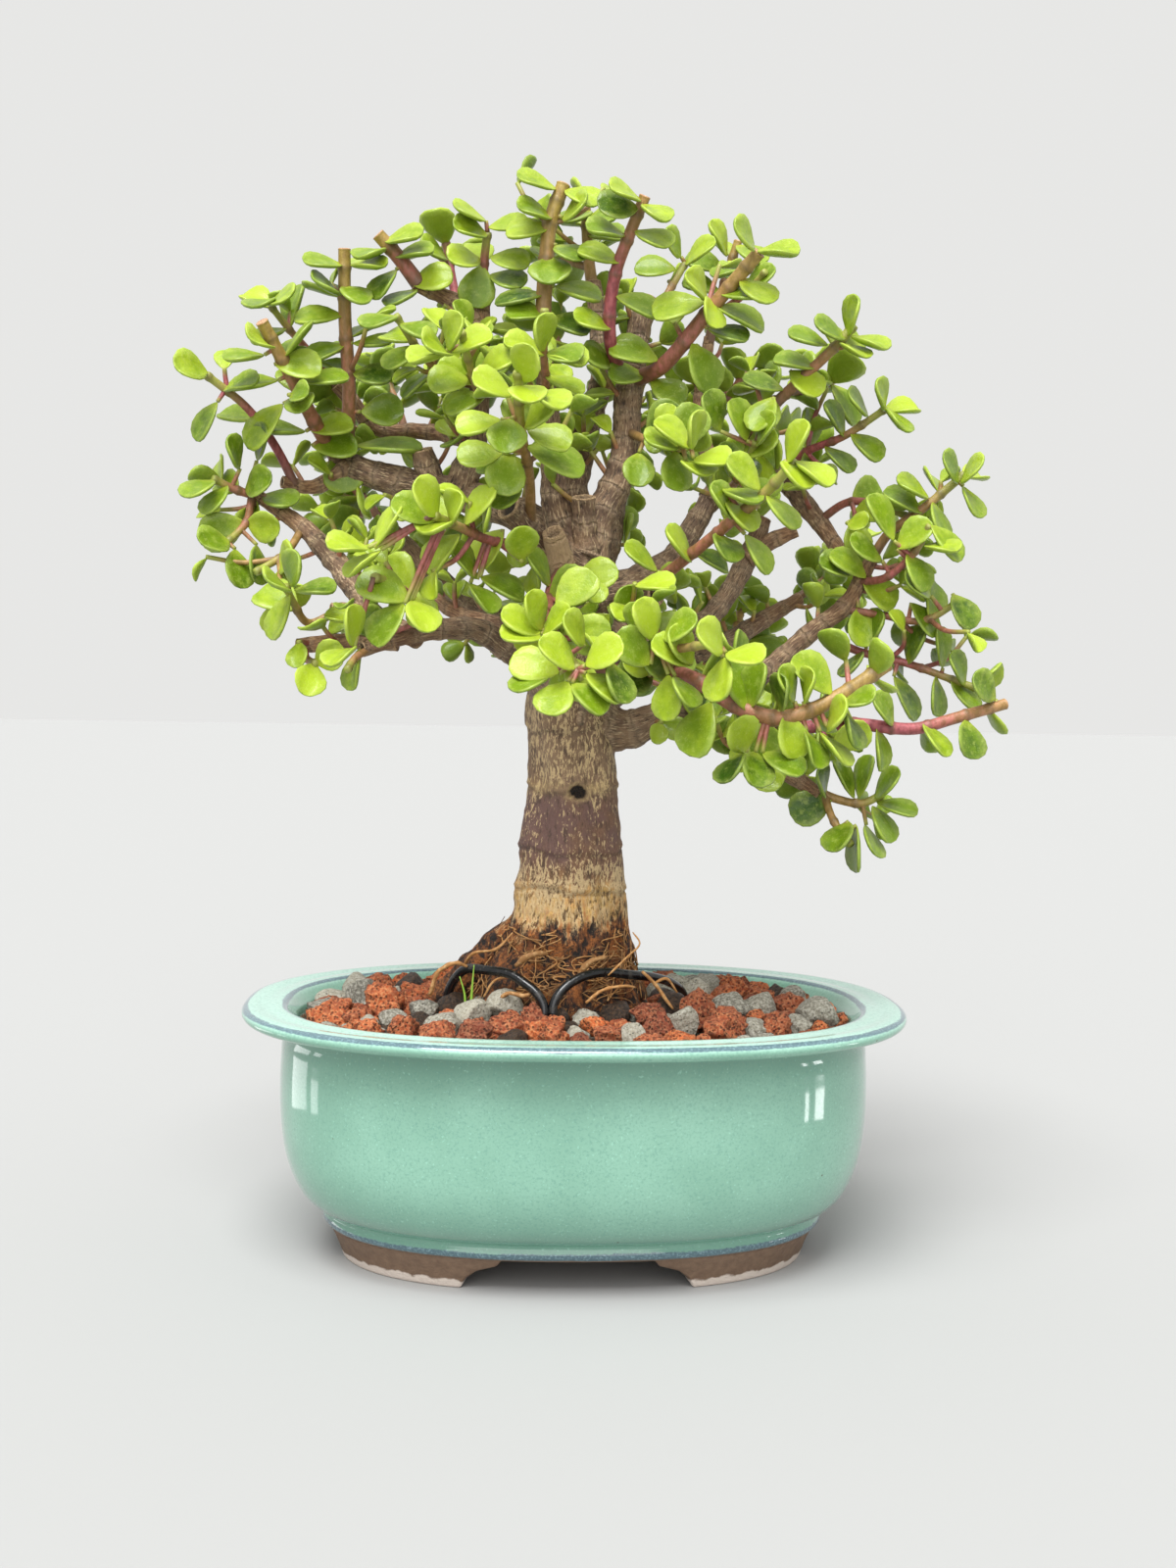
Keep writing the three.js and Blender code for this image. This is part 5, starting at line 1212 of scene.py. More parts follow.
LEAF_LENGTH, LEAF_WIDTH, INTERNODE = 13.8, 0.83, 11.8
LEAF_MIDDLE = 0.55  # share of the length
TOWARDS_LIGHT, AWAY_FROM_CROWN = 0.65, 0.28
GROWTH_CENTRE = np.array([4.0, 4.0, 215.0])
BALLS = [[0.3, 0], [0.62, 0.27], [0.62, -0.27], [0.88, 0.1], [0.88, -0.1]]  # along and across a leaf
BALL_SHARE, BALL_SINK, BALL_STEP, MOST_BALLS = 0.2, 0.8, 3, 30000
# How near two balls may come, as a share of touching: to others, and to those of the same stem.
SPRAY_ROOM, SHOOT_ROOM = (0.95, 0.8), (0.72, 0.6)
FACET_TURN = [math.pi / 2, math.pi, -math.pi / 2, 0]
STEM_STEP, STEM_SIDES, STEM_TIP, CUT_SPREAD = 0.8, 10, 0.8, 1.18  # the last two are shares of the radius
STEM_CUT = [[1.06, 0.25], [0.9, 0.55], [0.4, 0.5]]  # share of the end's width, rise
NODE_SWELL, NODE_WIDTH = 0.35, 0.9
BARE_SHARE, BARE_MOST, FORK_BARE = 0.34, 20, 5  # bare foot of a spray's first stem and of its forks
CUT_BACK, TIP_BACK, SHOOT_BACK = 5.5, 1.2, 0.6  # from the end of a stem to its first leaves
# How leaves rise from square to their stem, and how far this and their turn and size may vary.
YOUNG_RISE, TIP_RISE, CUT_RISE, OLD_RISE, SHOOT_RISE = 0.7, 0.48, 0.28, 0.2, 0.35
SPRAY_TURNS, SPRAY_SWAY, SPRAY_SIZES, SHOOT_SWAY = (-0.3, 0.3), (-0.15, 0.2), (0.84, 1.12), (-0.15, 0.15)
PAIR_SPACING, FIRST_SPACING, SHOOT_SPACING = (0.9, 1.15), 0.7, 0.68
YOUNG_SIZE, YOUNG_SHOOT_SIZE = 0.8, 0.82
TIP_YOUTH, AGEING, YOUNG_YOUTH, SHOOT_YOUTH = 0.75, 0.45, 0.15, (0.5, 0.95)
SHOOT_RADIUS, TWIG_RADIUS = 0.9, 0.8
# Drawn lengths of side shoots and of their leaves, in leaf axils and along the limbs.
LONG_SHOOTS, SHORT_SHOOTS, SHOOT_LEAVES = (14, 24), (4, 10), (9.5, 13)
LIMB_SHOOTS, LIMB_LEAVES, LIMB_SHOOT_EVERY = (9, 17), (9, 13), 9
# Ways to place a leaf, tried in turn: [more turn, more rise, share of its length].
TRIES = [
    [0, 0, 1], [0.35, 0.1, 1], [-0.35, 0.1, 1], [0.5, -0.3, 0.92], [-0.5, -0.3, 0.92], [0.1, 0.45, 0.85],
    [-0.1, -0.55, 0.8], [0.6, 0.2, 0.75], [-0.6, 0.2, 0.75],
]
# Chance of a side shoot in an axil, on sprays with chosen leaves and on others, and of a long one.
SHOOT_CHANCES, LONG_CHANCE = (0.65, 0.85), 0.4

# Each spray is one or more young stems [radius, points], and "cut" where the end is pruned. The first
# grows from the old wood, the others fork from it.
SPRAYS = {
    "crown_peak": [[2.4, [[-14, -6, 296], [-13, -7, 321], [-12, -7, 332], [-8, -7, 344]], "cut"]],
    "crown_purple": [[1.9, [[15, 8, 284], [8, -6, 295], [9, -14, 316], [13, -18, 327],
        [17, -21, 337]], "cut"]],
    "crown_right": [[2.3, [[17, 9, 286], [25, -8, 288], [38, -18, 303], [52, -28, 319]], "cut"]],
    "crown_inner": [[1.4, [[19, 11, 308], [24, 19, 311], [30, 24, 320], [35, 27, 329]]]],
    "crown_far": [[1.6, [[45, 40, 305], [49, 38, 322], [54, 36, 339]], "cut"], [1.4, [[46, 39, 314],
        [56, 30, 320], [62, 22, 326]]]],
    "crown_rosette": [[1.6, [[-33, 11, 311], [-33, 6, 322], [-32, 2, 331]]]],
    "crown_back": [[1.8, [[4, 34, 320], [2, 32, 334], [1, 30, 347]], "cut"], [1.4, [[3, 33, 328],
        [-6, 42, 333], [-12, 48, 337]]]],
    "crown_red": [[1.4, [[-41, 9, 306], [-44, 22, 321], [-47, 28, 338]], "cut"]],
    "crown_left": [[2.3, [[-54, 6, 314.5], [-61, 4, 323], [-67, 2, 329]], "cut"]],
    "right_high": [[2, [[63.5, 9, 279], [74, 1, 289], [83, -4, 298], [87, -5, 303]]], [1.4, [[68, 5, 283],
        [78, 16, 286], [88, 22, 291]], "cut"]],
    "right_reach": [[1.5, [[71, 37, 258], [76, 20, 265], [87, 6, 269], [99, -2, 277]]]],
    "right_tip": [[1.7, [[96, 5, 227], [101, 2, 236], [111, -2, 244], [125, -4, 256]]]],
    "right_front": [[1.4, [[92, 8, 221], [100, -4, 222], [108, -12, 231], [111, -16, 238]]]],
    "right_side": [[1.4, [[88, 10, 212], [100, 4, 210], [113, -2, 208], [123, -6, 214]]]],
    "right_hanging": [[1.5, [[79, 12, 205], [94, 10, 198], [110, 6, 194], [123, 0, 189], [131, -4, 186]]]],
    "right_deep": [[1.5, [[83, 30, 243], [92, 22, 249], [102, 14, 247], [110, 10, 243]]]],
    "front_long": [[1.9, [[18, -22, 214], [29, -37, 223], [42, -53, 234], [52, -63, 243], [58, -69, 250]]]],
    "front_rosette": [[1.6, [[-7, -18, 222], [-11, -34, 214], [-11, -52, 203], [-7, -68, 194],
        [-4, -78, 189]]], [1.3, [[-10, -28, 217], [-4, -38, 216], [-1, -48, 217]]]],
    "front_drop": [[1.5, [[10, -15, 212], [12, -32, 210], [14, -48, 202], [19, -62, 199]]]],
    "sweep_long": [[2.3, [[4, -8, 188], [21, -42, 190], [31, -58, 187], [46, -68, 178], [54, -70, 176],
        [63, -70, 178], [73, -68, 183], [87, -64, 192]], "cut"], [1.5, [[18, -36, 190], [22, -58, 195],
        [28, -72, 196], [35, -82, 197]]]],
    "sweep_low": [[1.9, [[46, -5, 171], [65, -18, 172], [85, -24, 174], [107, -24, 173], [118, -22, 176],
        [136, -18, 181]], "cut"]],
    "low_tip": [[1.6, [[77, -8, 152], [85, -9, 149], [92, -10, 148], [99, -10, 151]]], [1.4, [[80, -8, 151],
        [82, -14, 143], [87, -20, 135]]]],
    "low_front": [[1.4, [[54, -6, 166], [50, -26, 163], [51, -40, 160]]]],
    "left_upright": [[2.1, [[-79, 23, 258], [-77, 12, 280], [-78, 6, 303], [-78, 2, 324]], "cut"]],
    "left_leaning": [[2.2, [[-82, 24, 260], [-88, 9, 270], [-95, -5, 284], [-102, -13, 297]], "cut"]],
    "left_rear": [[1.4, [[-83, 36, 286], [-91, 24, 295], [-98, 16, 302], [-103, 12, 308]]]],
    "left_inner": [[1.4, [[-34, 11, 283], [-46, -4, 284], [-54, -14, 291], [-60, -20, 299]]]],
    "left_far": [[1.6, [[-95, 17, 250], [-101, 12, 262], [-109, 3, 273], [-121, -5, 282]]]],
    "left_end": [[1.5, [[-105, 9, 245], [-113, 6, 247], [-120, 2, 250]]], [1.4, [[-108, 8, 245],
        [-109, 2, 236], [-114, -4, 229]]]],
    "left_droop": [[1.4, [[-91, 5, 235], [-96, -6, 225], [-104, -12, 219]]]],
    "left_stub_tip": [[1.4, [[-77, -19, 207], [-86, -22, 203], [-90, -28, 209], [-92, -32, 214]]]],
    "left_under": [[1.4, [[-87, -22, 196], [-86, -28, 192], [-82, -34, 190]]]],
    "left_hanging": [[1.3, [[-66, -32, 195], [-70, -38, 192], [-72, -43, 188]]]],
    "left_front": [[1.6, [[-48, -22, 201], [-52, -40, 209], [-58, -52, 214], [-63, -60, 215]]]],
    "left_bright": [[1.7, [[-14, -17, 230], [-28, -36, 228], [-39, -52, 231], [-46, -62, 233]]]],
    "left_rosette": [[1.4, [[-34, 11, 281], [-34, -12, 277], [-36, -32, 280], [-39, -42, 290]]]],
    "top_front": [[1.4, [[-13, -6, 280], [-13, -22, 279], [-14, -34, 287], [-14, -39, 298]]]],
    "front_tall": [[1.7, [[-17, -20, 233], [-18, -38, 248], [-21, -54, 261], [-22, -66, 274]]]],
    "centre_front": [[1.5, [[15, 8, 269], [21, -18, 262], [27, -36, 258], [31, -46, 258]]]],
    "centre_right": [[1.5, [[48, 40, 257], [50, 16, 252], [52, -6, 256], [54, -18, 263]]]],
    "centre_left": [[1.4, [[-52, 15, 216], [-62, 10, 226], [-71, 4, 229]]]],
    "back_peak": [[1.7, [[18, 73, 266], [22, 82, 284], [26, 84, 304]], "cut"], [1.4, [[20, 78, 276],
        [32, 88, 284], [40, 94, 292]]]],
    "back_middle": [[1.5, [[12, 50, 237], [4, 72, 250], [-4, 88, 262], [-7, 96, 272]]], [1.4, [[6, 66, 247],
        [16, 84, 246], [24, 96, 250]]]],
    "back_left_tip": [[1.6, [[-67, 63, 241], [-80, 70, 256], [-90, 72, 274]], "cut"], [1.4, [[-73, 66, 248],
        [-86, 78, 246], [-95, 84, 250]]]],
    "back_left_side": [[1.5, [[-52, 55, 227], [-54, 76, 230], [-58, 94, 234]]], [1.4, [[-53, 66, 229],
        [-46, 80, 242], [-42, 90, 252]]]],
    "back_right_tip": [[1.6, [[81, 60, 218], [95, 64, 228], [105, 66, 242]]], [1.4, [[88, 62, 222],
        [98, 74, 220], [108, 82, 224]]]],
    "back_right_side": [[1.5, [[58, 51, 204], [62, 74, 210], [66, 92, 220]], "cut"], [1.4, [[60, 62, 207],
        [68, 76, 198], [74, 86, 192]]]],
    "back_under": [[1.5, [[-14, 73, 189], [-16, 86, 197], [-18, 98, 208]]], [1.4, [[-15, 79, 192],
        [-9, 89, 187], [1, 97, 188]]]],
    "back_low_right": [[1.5, [[22, 28, 188], [24, 56, 190], [24, 82, 198], [22, 94, 208]]]],
    "back_high_left": [[1.5, [[-60, 39, 272], [-64, 54, 284], [-70, 64, 298]]], [1.4, [[-62, 46, 278],
        [-76, 58, 280], [-86, 64, 284]]]],
    "back_high": [[1.5, [[6, 30, 296], [-8, 50, 306], [-18, 62, 318]]], [1.4, [[-4, 44, 303],
        [-22, 50, 296], [-34, 56, 298]]]],
    "back_high_right": [[1.5, [[44, 42, 282], [56, 56, 292], [66, 66, 306]], "cut"], [1.4, [[51, 50, 288],
        [64, 52, 286], [76, 52, 290]]]],
}

# How red a spray's stems are, from olive at 0 to wine-red at 1, and how much younger its leaves look.
RED = {
    "crown_peak": 0.35, "crown_purple": 0.9, "crown_right": 0.6, "crown_far": 0.6, "left_upright": 0.5,
    "left_leaning": 0.55, "left_far": 0.9, "crown_left": 0.6, "crown_red": 0.8, "right_high": 0.45,
    "right_reach": 0.75, "right_tip": 0.4, "front_long": 0.55, "sweep_long": 0.6, "sweep_low": 0.95,
    "right_hanging": 0.7,
}
BRIGHT = {
    "left_bright": 0.3, "left_hanging": 0.3, "left_under": 0.25, "left_front": 0.15, "front_rosette": 0.15,
    "left_rosette": 0.2, "right_deep": 0.15, "right_high": 0.1, "left_stub_tip": 0.2, "front_tall": 0.1,
}
GROUPS = {
    "leaves_crown": ("crown_", "top_"),
    "leaves_left": ("left_",),
    "leaves_right": ("right_", "low_"),
    "leaves_front": ("front_", "centre_", "sweep_"),
    "leaves_back": ("back_",),
}

CHOSEN_LENGTH, TWIG_FROM = 13.2, 2.4  # least length, and how far from its stem a leaf gets a twig
# Leaves that face the camera, by spray: [root x, root y, tip x, tip y, width] in pixels of its frame,
# and tone, from 0 for deep green to 1 for yellow-green. A last number is how far before its stem it starts.
CHOSEN_LEAVES = {
    "front_rosette": [[571, 687, 524, 671, 36, 0.8], [587, 683, 554, 655, 27, 0.85],
        [597, 657, 580, 634, 24, 0.7], [597, 679, 628, 657, 29, 0.95], [598, 687, 631, 712, 25, 0.85],
        [579, 695, 559, 727, 35, 0.7], [584, 697, 614, 721, 25, 0.6], [560, 690, 527, 698, 13, 0.45],
        [623, 675, 635, 712, 25, 0.2], [567, 620, 603, 585, 38, 0.55, 14], [562, 599, 542, 567, 16, 0.6],
        [553, 644, 541, 608, 25, 0.8], [552, 647, 516, 627, 24, 0.8], [553, 650, 516, 647, 18, 0.95],
        [553, 650, 576, 626, 16, 0.95]],
    "front_drop": [[664, 678, 629, 651, 35, 0.65], [668, 654, 657, 616, 27, 0.75],
        [676, 651, 702, 634, 24, 0.6], [705, 679, 670, 653, 25, 0.85], [707, 678, 688, 644, 28, 0.8],
        [682, 688, 681, 733, 32, 0.55], [689, 690, 705, 715, 18, 0.5]],
    "sweep_long": [[726, 716, 703, 768, 40, 0.35], [738, 666, 717, 641, 24, 1], [741, 666, 771, 669, 21, 1],
        [738, 671, 733, 707, 28, 0.7], [764, 727, 744, 673, 32, 0.55], [766, 723, 772, 679, 24, 0.3],
        [849, 709, 813, 670, 32, 0.7], [811, 716, 802, 686, 15, 0.8], [820, 716, 828, 692, 15, 0.9],
        [795, 724, 801, 698, 22, 0.15], [761, 768, 754, 737, 33, 0.65], [771, 767, 771, 794, 34, 0.45],
        [802, 727, 812, 771, 34, 0.6], [778, 768, 813, 782, 24, 0.2], [757, 768, 740, 792, 18, 0.2],
        [823, 746, 835, 774, 15, 0.5], [837, 747, 861, 774, 9, 0.95], [844, 742, 856, 723, 14, 0.9],
        [862, 725, 874, 752, 9, 0.2], [860, 715, 880, 712, 18, 0.7]],
    "left_bright": [[447, 526, 430, 499, 28, 1], [444, 532, 403, 512, 28, 0.75],
        [459, 532, 465, 510, 17, 0.9], [459, 532, 436, 541, 15, 0.9], [475, 536, 499, 498, 22, 0.7],
        [493, 542, 499, 517, 8, 0.7], [513, 540, 487, 577, 28, 0.95], [469, 545, 434, 580, 24, 0.9],
        [487, 591, 466, 560, 18, 0.4], [490, 589, 534, 605, 21, 0.2], [480, 595, 501, 622, 19, 0.25],
        [418, 613, 369, 587, 36, 0.6], [413, 616, 381, 655, 32, 0.25], [421, 612, 437, 639, 28, 0.9],
        [382, 559, 406, 516, 13, 0.9], [376, 559, 340, 556, 17, 0.95], [389, 561, 356, 587, 10, 0.8]],
    "left_front": [[361, 660, 358, 623, 21, 0.95], [361, 661, 340, 672, 11, 0.9],
        [367, 661, 357, 700, 14, 0.6]],
    "front_tall": [[534, 390, 538, 361, 31, 0.95], [524, 403, 487, 387, 24, 0.85],
        [532, 393, 541, 406, 32, 0.95], [547, 399, 571, 411, 18, 0.9], [511, 428, 469, 439, 25, 0.8],
        [521, 427, 516, 460, 39, 0.65], [538, 439, 580, 455, 27, 0.75], [535, 435, 556, 417, 20, 0.85],
        [513, 462, 469, 465, 27, 0.65], [524, 463, 510, 500, 41, 0.6], [537, 455, 594, 479, 31, 0.65],
        [530, 493, 506, 516, 24, 0.3]],
    "top_front": [[556, 358, 552, 330, 22, 0.95], [556, 362, 520, 349, 17, 0.85],
        [558, 361, 592, 368, 15, 0.9], [560, 358, 588, 365, 21, 0.6], [556, 383, 592, 403, 15, 0.7]],
    "left_rosette": [[456, 356, 465, 330, 18, 1], [460, 359, 498, 341, 20, 0.95],
        [455, 358, 440, 351, 15, 0.95], [478, 386, 443, 390, 25, 0.9], [487, 381, 520, 363, 20, 0.7],
        [496, 404, 455, 417, 22, 0.35], [455, 360, 420, 368, 14, 0.9]],
    "crown_peak": [[568, 193, 532, 180, 12, 0.7], [577, 193, 606, 205, 18, 0.6],
        [574, 222, 592, 208, 14, 0.5], [564, 222, 533, 212, 14, 0.6], [562, 232, 518, 236, 18, 0.8],
        [561, 262, 562, 287, 46, 0.6], [566, 292, 612, 303, 16, 0.45], [556, 300, 507, 306, 12, 0.2],
        [568, 250, 590, 262, 18, 0.35], [558, 320, 520, 318, 18, 0.2], [560, 325, 600, 338, 22, 0.25]],
    "crown_back": [[600, 222, 622, 219, 16, 0.5], [600, 240, 632, 238, 12, 0.5],
        [601, 215, 580, 222, 10, 0.4]],
    "crown_purple": [[654, 204, 628, 191, 10, 0.6], [652, 212, 612, 211, 26, 0.3],
        [656, 208, 679, 222, 14, 0.6], [648, 235, 680, 251, 18, 0.6], [638, 240, 603, 233, 14, 0.55],
        [634, 268, 592, 254, 18, 0.5], [628, 302, 672, 319, 20, 0.45], [624, 335, 592, 322, 14, 0.5],
        [624, 372, 603, 358, 18, 0.35]],
    "crown_far": [[735, 298, 700, 285, 16, 0.5], [740, 276, 702, 262, 20, 0.45],
        [742, 262, 728, 232, 12, 0.6], [760, 300, 783, 276, 18, 0.35], [752, 250, 776, 262, 14, 0.5]],
    "crown_inner": [[690, 275, 650, 270, 22, 0.35], [695, 262, 684, 241, 16, 0.5],
        [699, 270, 720, 250, 14, 0.6], [672, 305, 652, 330, 18, 0.3]],
    "crown_right": [[772, 256, 808, 258, 12, 0.85], [770, 252, 758, 234, 13, 0.8],
        [755, 286, 785, 306, 20, 0.6], [722, 306, 703, 284, 18, 0.95], [720, 308, 668, 317, 26, 0.8],
        [726, 306, 728, 327, 20, 0.85], [730, 312, 779, 331, 18, 0.5], [722, 335, 760, 346, 16, 0.35],
        [706, 350, 727, 397, 32, 0.6], [672, 368, 625, 352, 26, 0.75], [655, 380, 629, 383, 22, 0.65],
        [664, 388, 695, 410, 28, 0.55], [735, 300, 772, 298, 12, 0.5]],
    "centre_front": [[705, 458, 672, 428, 20, 0.65], [708, 458, 706, 430, 18, 0.75],
        [690, 460, 691, 497, 30, 0.6], [652, 462, 652, 491, 34, 0.6], [708, 468, 738, 468, 18, 0.75],
        [700, 470, 718, 480, 14, 0.8], [692, 455, 664, 447, 16, 0.7]],
    "centre_right": [[762, 450, 750, 410, 24, 0.6], [770, 455, 785, 430, 16, 0.6],
        [757, 466, 786, 446, 24, 0.8], [790, 405, 768, 440, 30, 0.6], [750, 492, 742, 455, 18, 0.4],
        [735, 440, 722, 405, 24, 0.3]],
    "front_long": [[803, 473, 817, 437, 18, 0.85], [812, 470, 843, 490, 16, 0.95],
        [800, 470, 818, 491, 20, 0.8], [776, 500, 744, 469, 26, 0.65], [738, 498, 768, 512, 14, 0.8],
        [740, 508, 769, 537, 20, 0.7], [782, 505, 810, 534, 16, 0.7], [760, 545, 786, 582, 18, 0.45],
        [706, 574, 683, 541, 14, 0.75], [671, 583, 641, 557, 16, 0.75], [748, 530, 733, 498, 16, 0.6]],
    "right_high": [[865, 343, 869, 312, 13, 0.85], [868, 343, 900, 354, 9, 0.95],
        [863, 345, 835, 329, 14, 0.5], [845, 352, 809, 337, 12, 0.5], [858, 350, 878, 362, 9, 0.7],
        [832, 376, 793, 362, 14, 0.4], [806, 378, 834, 402, 26, 0.75], [848, 392, 876, 429, 20, 0.4],
        [800, 398, 760, 386, 18, 0.4], [792, 410, 772, 440, 30, 0.55]],
    "right_reach": [[903, 418, 900, 397, 8, 0.75], [905, 416, 922, 438, 10, 0.75],
        [886, 424, 870, 403, 9, 0.5], [868, 442, 896, 467, 20, 0.4], [862, 446, 845, 412, 14, 0.4],
        [842, 455, 865, 480, 16, 0.4]],
    "right_tip": [[979, 492, 965, 467, 14, 0.55], [983, 496, 998, 521, 12, 0.65],
        [980, 492, 993, 475, 10, 0.7], [948, 508, 919, 489, 12, 0.5], [952, 512, 963, 545, 14, 0.45],
        [942, 524, 905, 500, 16, 0.5]],
    "right_front": [[950, 536, 980, 570, 20, 0.6], [915, 560, 944, 536, 28, 0.7],
        [912, 552, 890, 506, 22, 0.7], [925, 565, 946, 599, 22, 0.4], [900, 572, 868, 552, 20, 0.5],
        [884, 590, 852, 562, 22, 0.4], [880, 592, 912, 617, 28, 0.6], [876, 620, 880, 657, 30, 0.5],
        [872, 584, 838, 572, 22, 0.45], [944, 556, 968, 560, 12, 0.6]],
    "right_side": [[972, 606, 991, 635, 24, 0.35], [930, 615, 955, 646, 20, 0.35],
        [950, 608, 925, 590, 16, 0.4]],
    "right_hanging": [[985, 700, 974, 668, 14, 0.5], [970, 694, 994, 722, 16, 0.4],
        [955, 690, 958, 728, 14, 0.4], [962, 682, 958, 642, 14, 0.4], [926, 678, 938, 645, 18, 0.35],
        [912, 690, 936, 732, 18, 0.4], [880, 664, 862, 690, 14, 0.3], [884, 660, 896, 630, 18, 0.3]],
    "sweep_low": [[1016, 714, 994, 690, 26, 0.25], [986, 734, 990, 769, 26, 0.4],
        [942, 738, 963, 763, 14, 0.6], [895, 742, 902, 785, 13, 0.35], [912, 740, 897, 712, 16, 0.4],
        [872, 738, 846, 716, 14, 0.5]],
    "low_tip": [[849, 815, 809, 831, 36, 0.25], [843, 810, 836, 790, 14, 0.3],
        [876, 815, 886, 772, 18, 0.35], [872, 815, 852, 776, 14, 0.35], [892, 815, 913, 790, 18, 0.45],
        [894, 818, 930, 830, 16, 0.5], [874, 842, 870, 888, 13, 0.6], [884, 842, 893, 868, 13, 0.55],
        [866, 838, 852, 866, 26, 0.25], [890, 822, 908, 855, 18, 0.35]],
    "left_far": [[212, 380, 187, 371, 24, 0.55], [222, 410, 197, 445, 18, 0.3],
        [228, 398, 258, 385, 10, 0.4]],
    "left_rear": [[274, 305, 260, 311, 10, 0.6], [278, 306, 291, 300, 9, 0.7],
        [292, 335, 262, 345, 10, 0.5]],
    "left_leaning": [[272, 350, 262, 344, 8, 0.7], [280, 372, 326, 375, 30, 0.6],
        [310, 390, 353, 381, 14, 0.65], [284, 388, 235, 395, 12, 0.5], [289, 412, 251, 452, 26, 0.5],
        [318, 455, 363, 456, 28, 0.6], [345, 462, 353, 501, 42, 0.45], [318, 440, 358, 431, 20, 0.6],
        [270, 362, 234, 365, 10, 0.6], [312, 440, 276, 440, 12, 0.5]],
    "left_upright": [[350, 270, 315, 268, 12, 0.55], [358, 270, 389, 272, 10, 0.6],
        [350, 292, 372, 303, 15, 0.7], [348, 300, 326, 288, 8, 0.5], [350, 322, 302, 323, 18, 0.5],
        [352, 352, 314, 366, 16, 0.5], [360, 350, 398, 350, 12, 0.5], [360, 380, 398, 388, 22, 0.2],
        [362, 455, 428, 455, 12, 0.5], [368, 420, 410, 420, 32, 0.4]],
    "crown_left": [[392, 246, 428, 240, 14, 0.6], [392, 254, 370, 262, 9, 0.5],
        [402, 262, 440, 254, 10, 0.7], [420, 290, 459, 280, 26, 0.7], [404, 275, 380, 300, 14, 0.45],
        [425, 295, 400, 308, 10, 0.4]],
    "crown_rosette": [[492, 270, 484, 312, 38, 0.6], [490, 264, 464, 262, 20, 0.8],
        [498, 240, 469, 230, 18, 0.75], [496, 225, 468, 212, 10, 0.6], [498, 232, 536, 226, 16, 0.7],
        [500, 262, 536, 268, 20, 0.5], [500, 280, 533, 290, 20, 0.3]],
    "crown_red": [[455, 262, 440, 250, 10, 0.5], [458, 278, 432, 290, 18, 0.4]],
    "left_inner": [[404, 322, 378, 330, 12, 0.5], [410, 330, 436, 338, 14, 0.5],
        [425, 352, 396, 372, 18, 0.3]],
    "left_end": [[218, 490, 195, 500, 14, 0.5], [232, 495, 212, 520, 18, 0.4],
        [250, 500, 272, 488, 26, 0.3], [234, 552, 212, 552, 26, 0.4], [240, 560, 244, 598, 28, 0.3],
        [262, 556, 264, 592, 20, 0.3], [268, 505, 300, 515, 22, 0.25], [262, 470, 268, 440, 14, 0.35],
        [245, 478, 236, 455, 16, 0.5]],
    "left_stub_tip": [[292, 598, 276, 592, 14, 0.5], [300, 602, 340, 600, 14, 0.3],
        [296, 606, 276, 650, 18, 0.5], [296, 598, 298, 570, 16, 0.5]],
}
# Places in the same frame where no leaf stands, so that air shows: [x, y, half width].
AIR_PLACES = [
    [480, 715, 42], [425, 745, 48], [515, 735, 26], [440, 700, 26], [600, 497, 17], [562, 500, 12],
    [852, 522, 16], [792, 582, 20], [802, 612, 14], [700, 795, 30], [650, 800, 30], [645, 728, 20],
    [668, 718, 16], [745, 805, 22], [940, 800, 26], [760, 860, 40], [1052, 722, 30], [415, 200, 22],
    [610, 165, 20], [860, 280, 20], [210, 330, 18], [722, 214, 16], [438, 452, 12], [662, 530, 14],
    [500, 190, 20], [900, 300, 22], [950, 440, 20], [1020, 560, 20], [845, 893, 14], [857, 894, 8],
    [830, 878, 12],
]
# Places where no leaf hides the old wood, though leaves may stand behind it.
WOOD_PLACES = [
    [478, 630, 16], [508, 645, 16], [530, 525, 18], [562, 548, 20], [590, 530, 22], [626, 502, 17],
    [613, 562, 16], [640, 590, 12], [640, 440, 16], [640, 412, 14], [590, 478, 12], [400, 490, 16],
    [432, 492, 18], [305, 545, 13], [335, 568, 13], [355, 592, 12], [722, 528, 14], [706, 548, 12],
    [682, 556, 12], [750, 590, 16], [742, 616, 14], [780, 548, 14], [824, 522, 13], [842, 548, 12],
    [776, 642, 14], [850, 632, 12], [828, 644, 14], [800, 658, 14], [786, 682, 12], [640, 660, 10],
]
OPEN_MARGIN = 9  # pixels
BEHIND_WOOD = 48  # y from which a leaf stands behind the limbs
HIDES_WITHIN, HIDES_BEHIND = 1.15, 7  # share of a chosen leaf's half length, and millimetres behind it


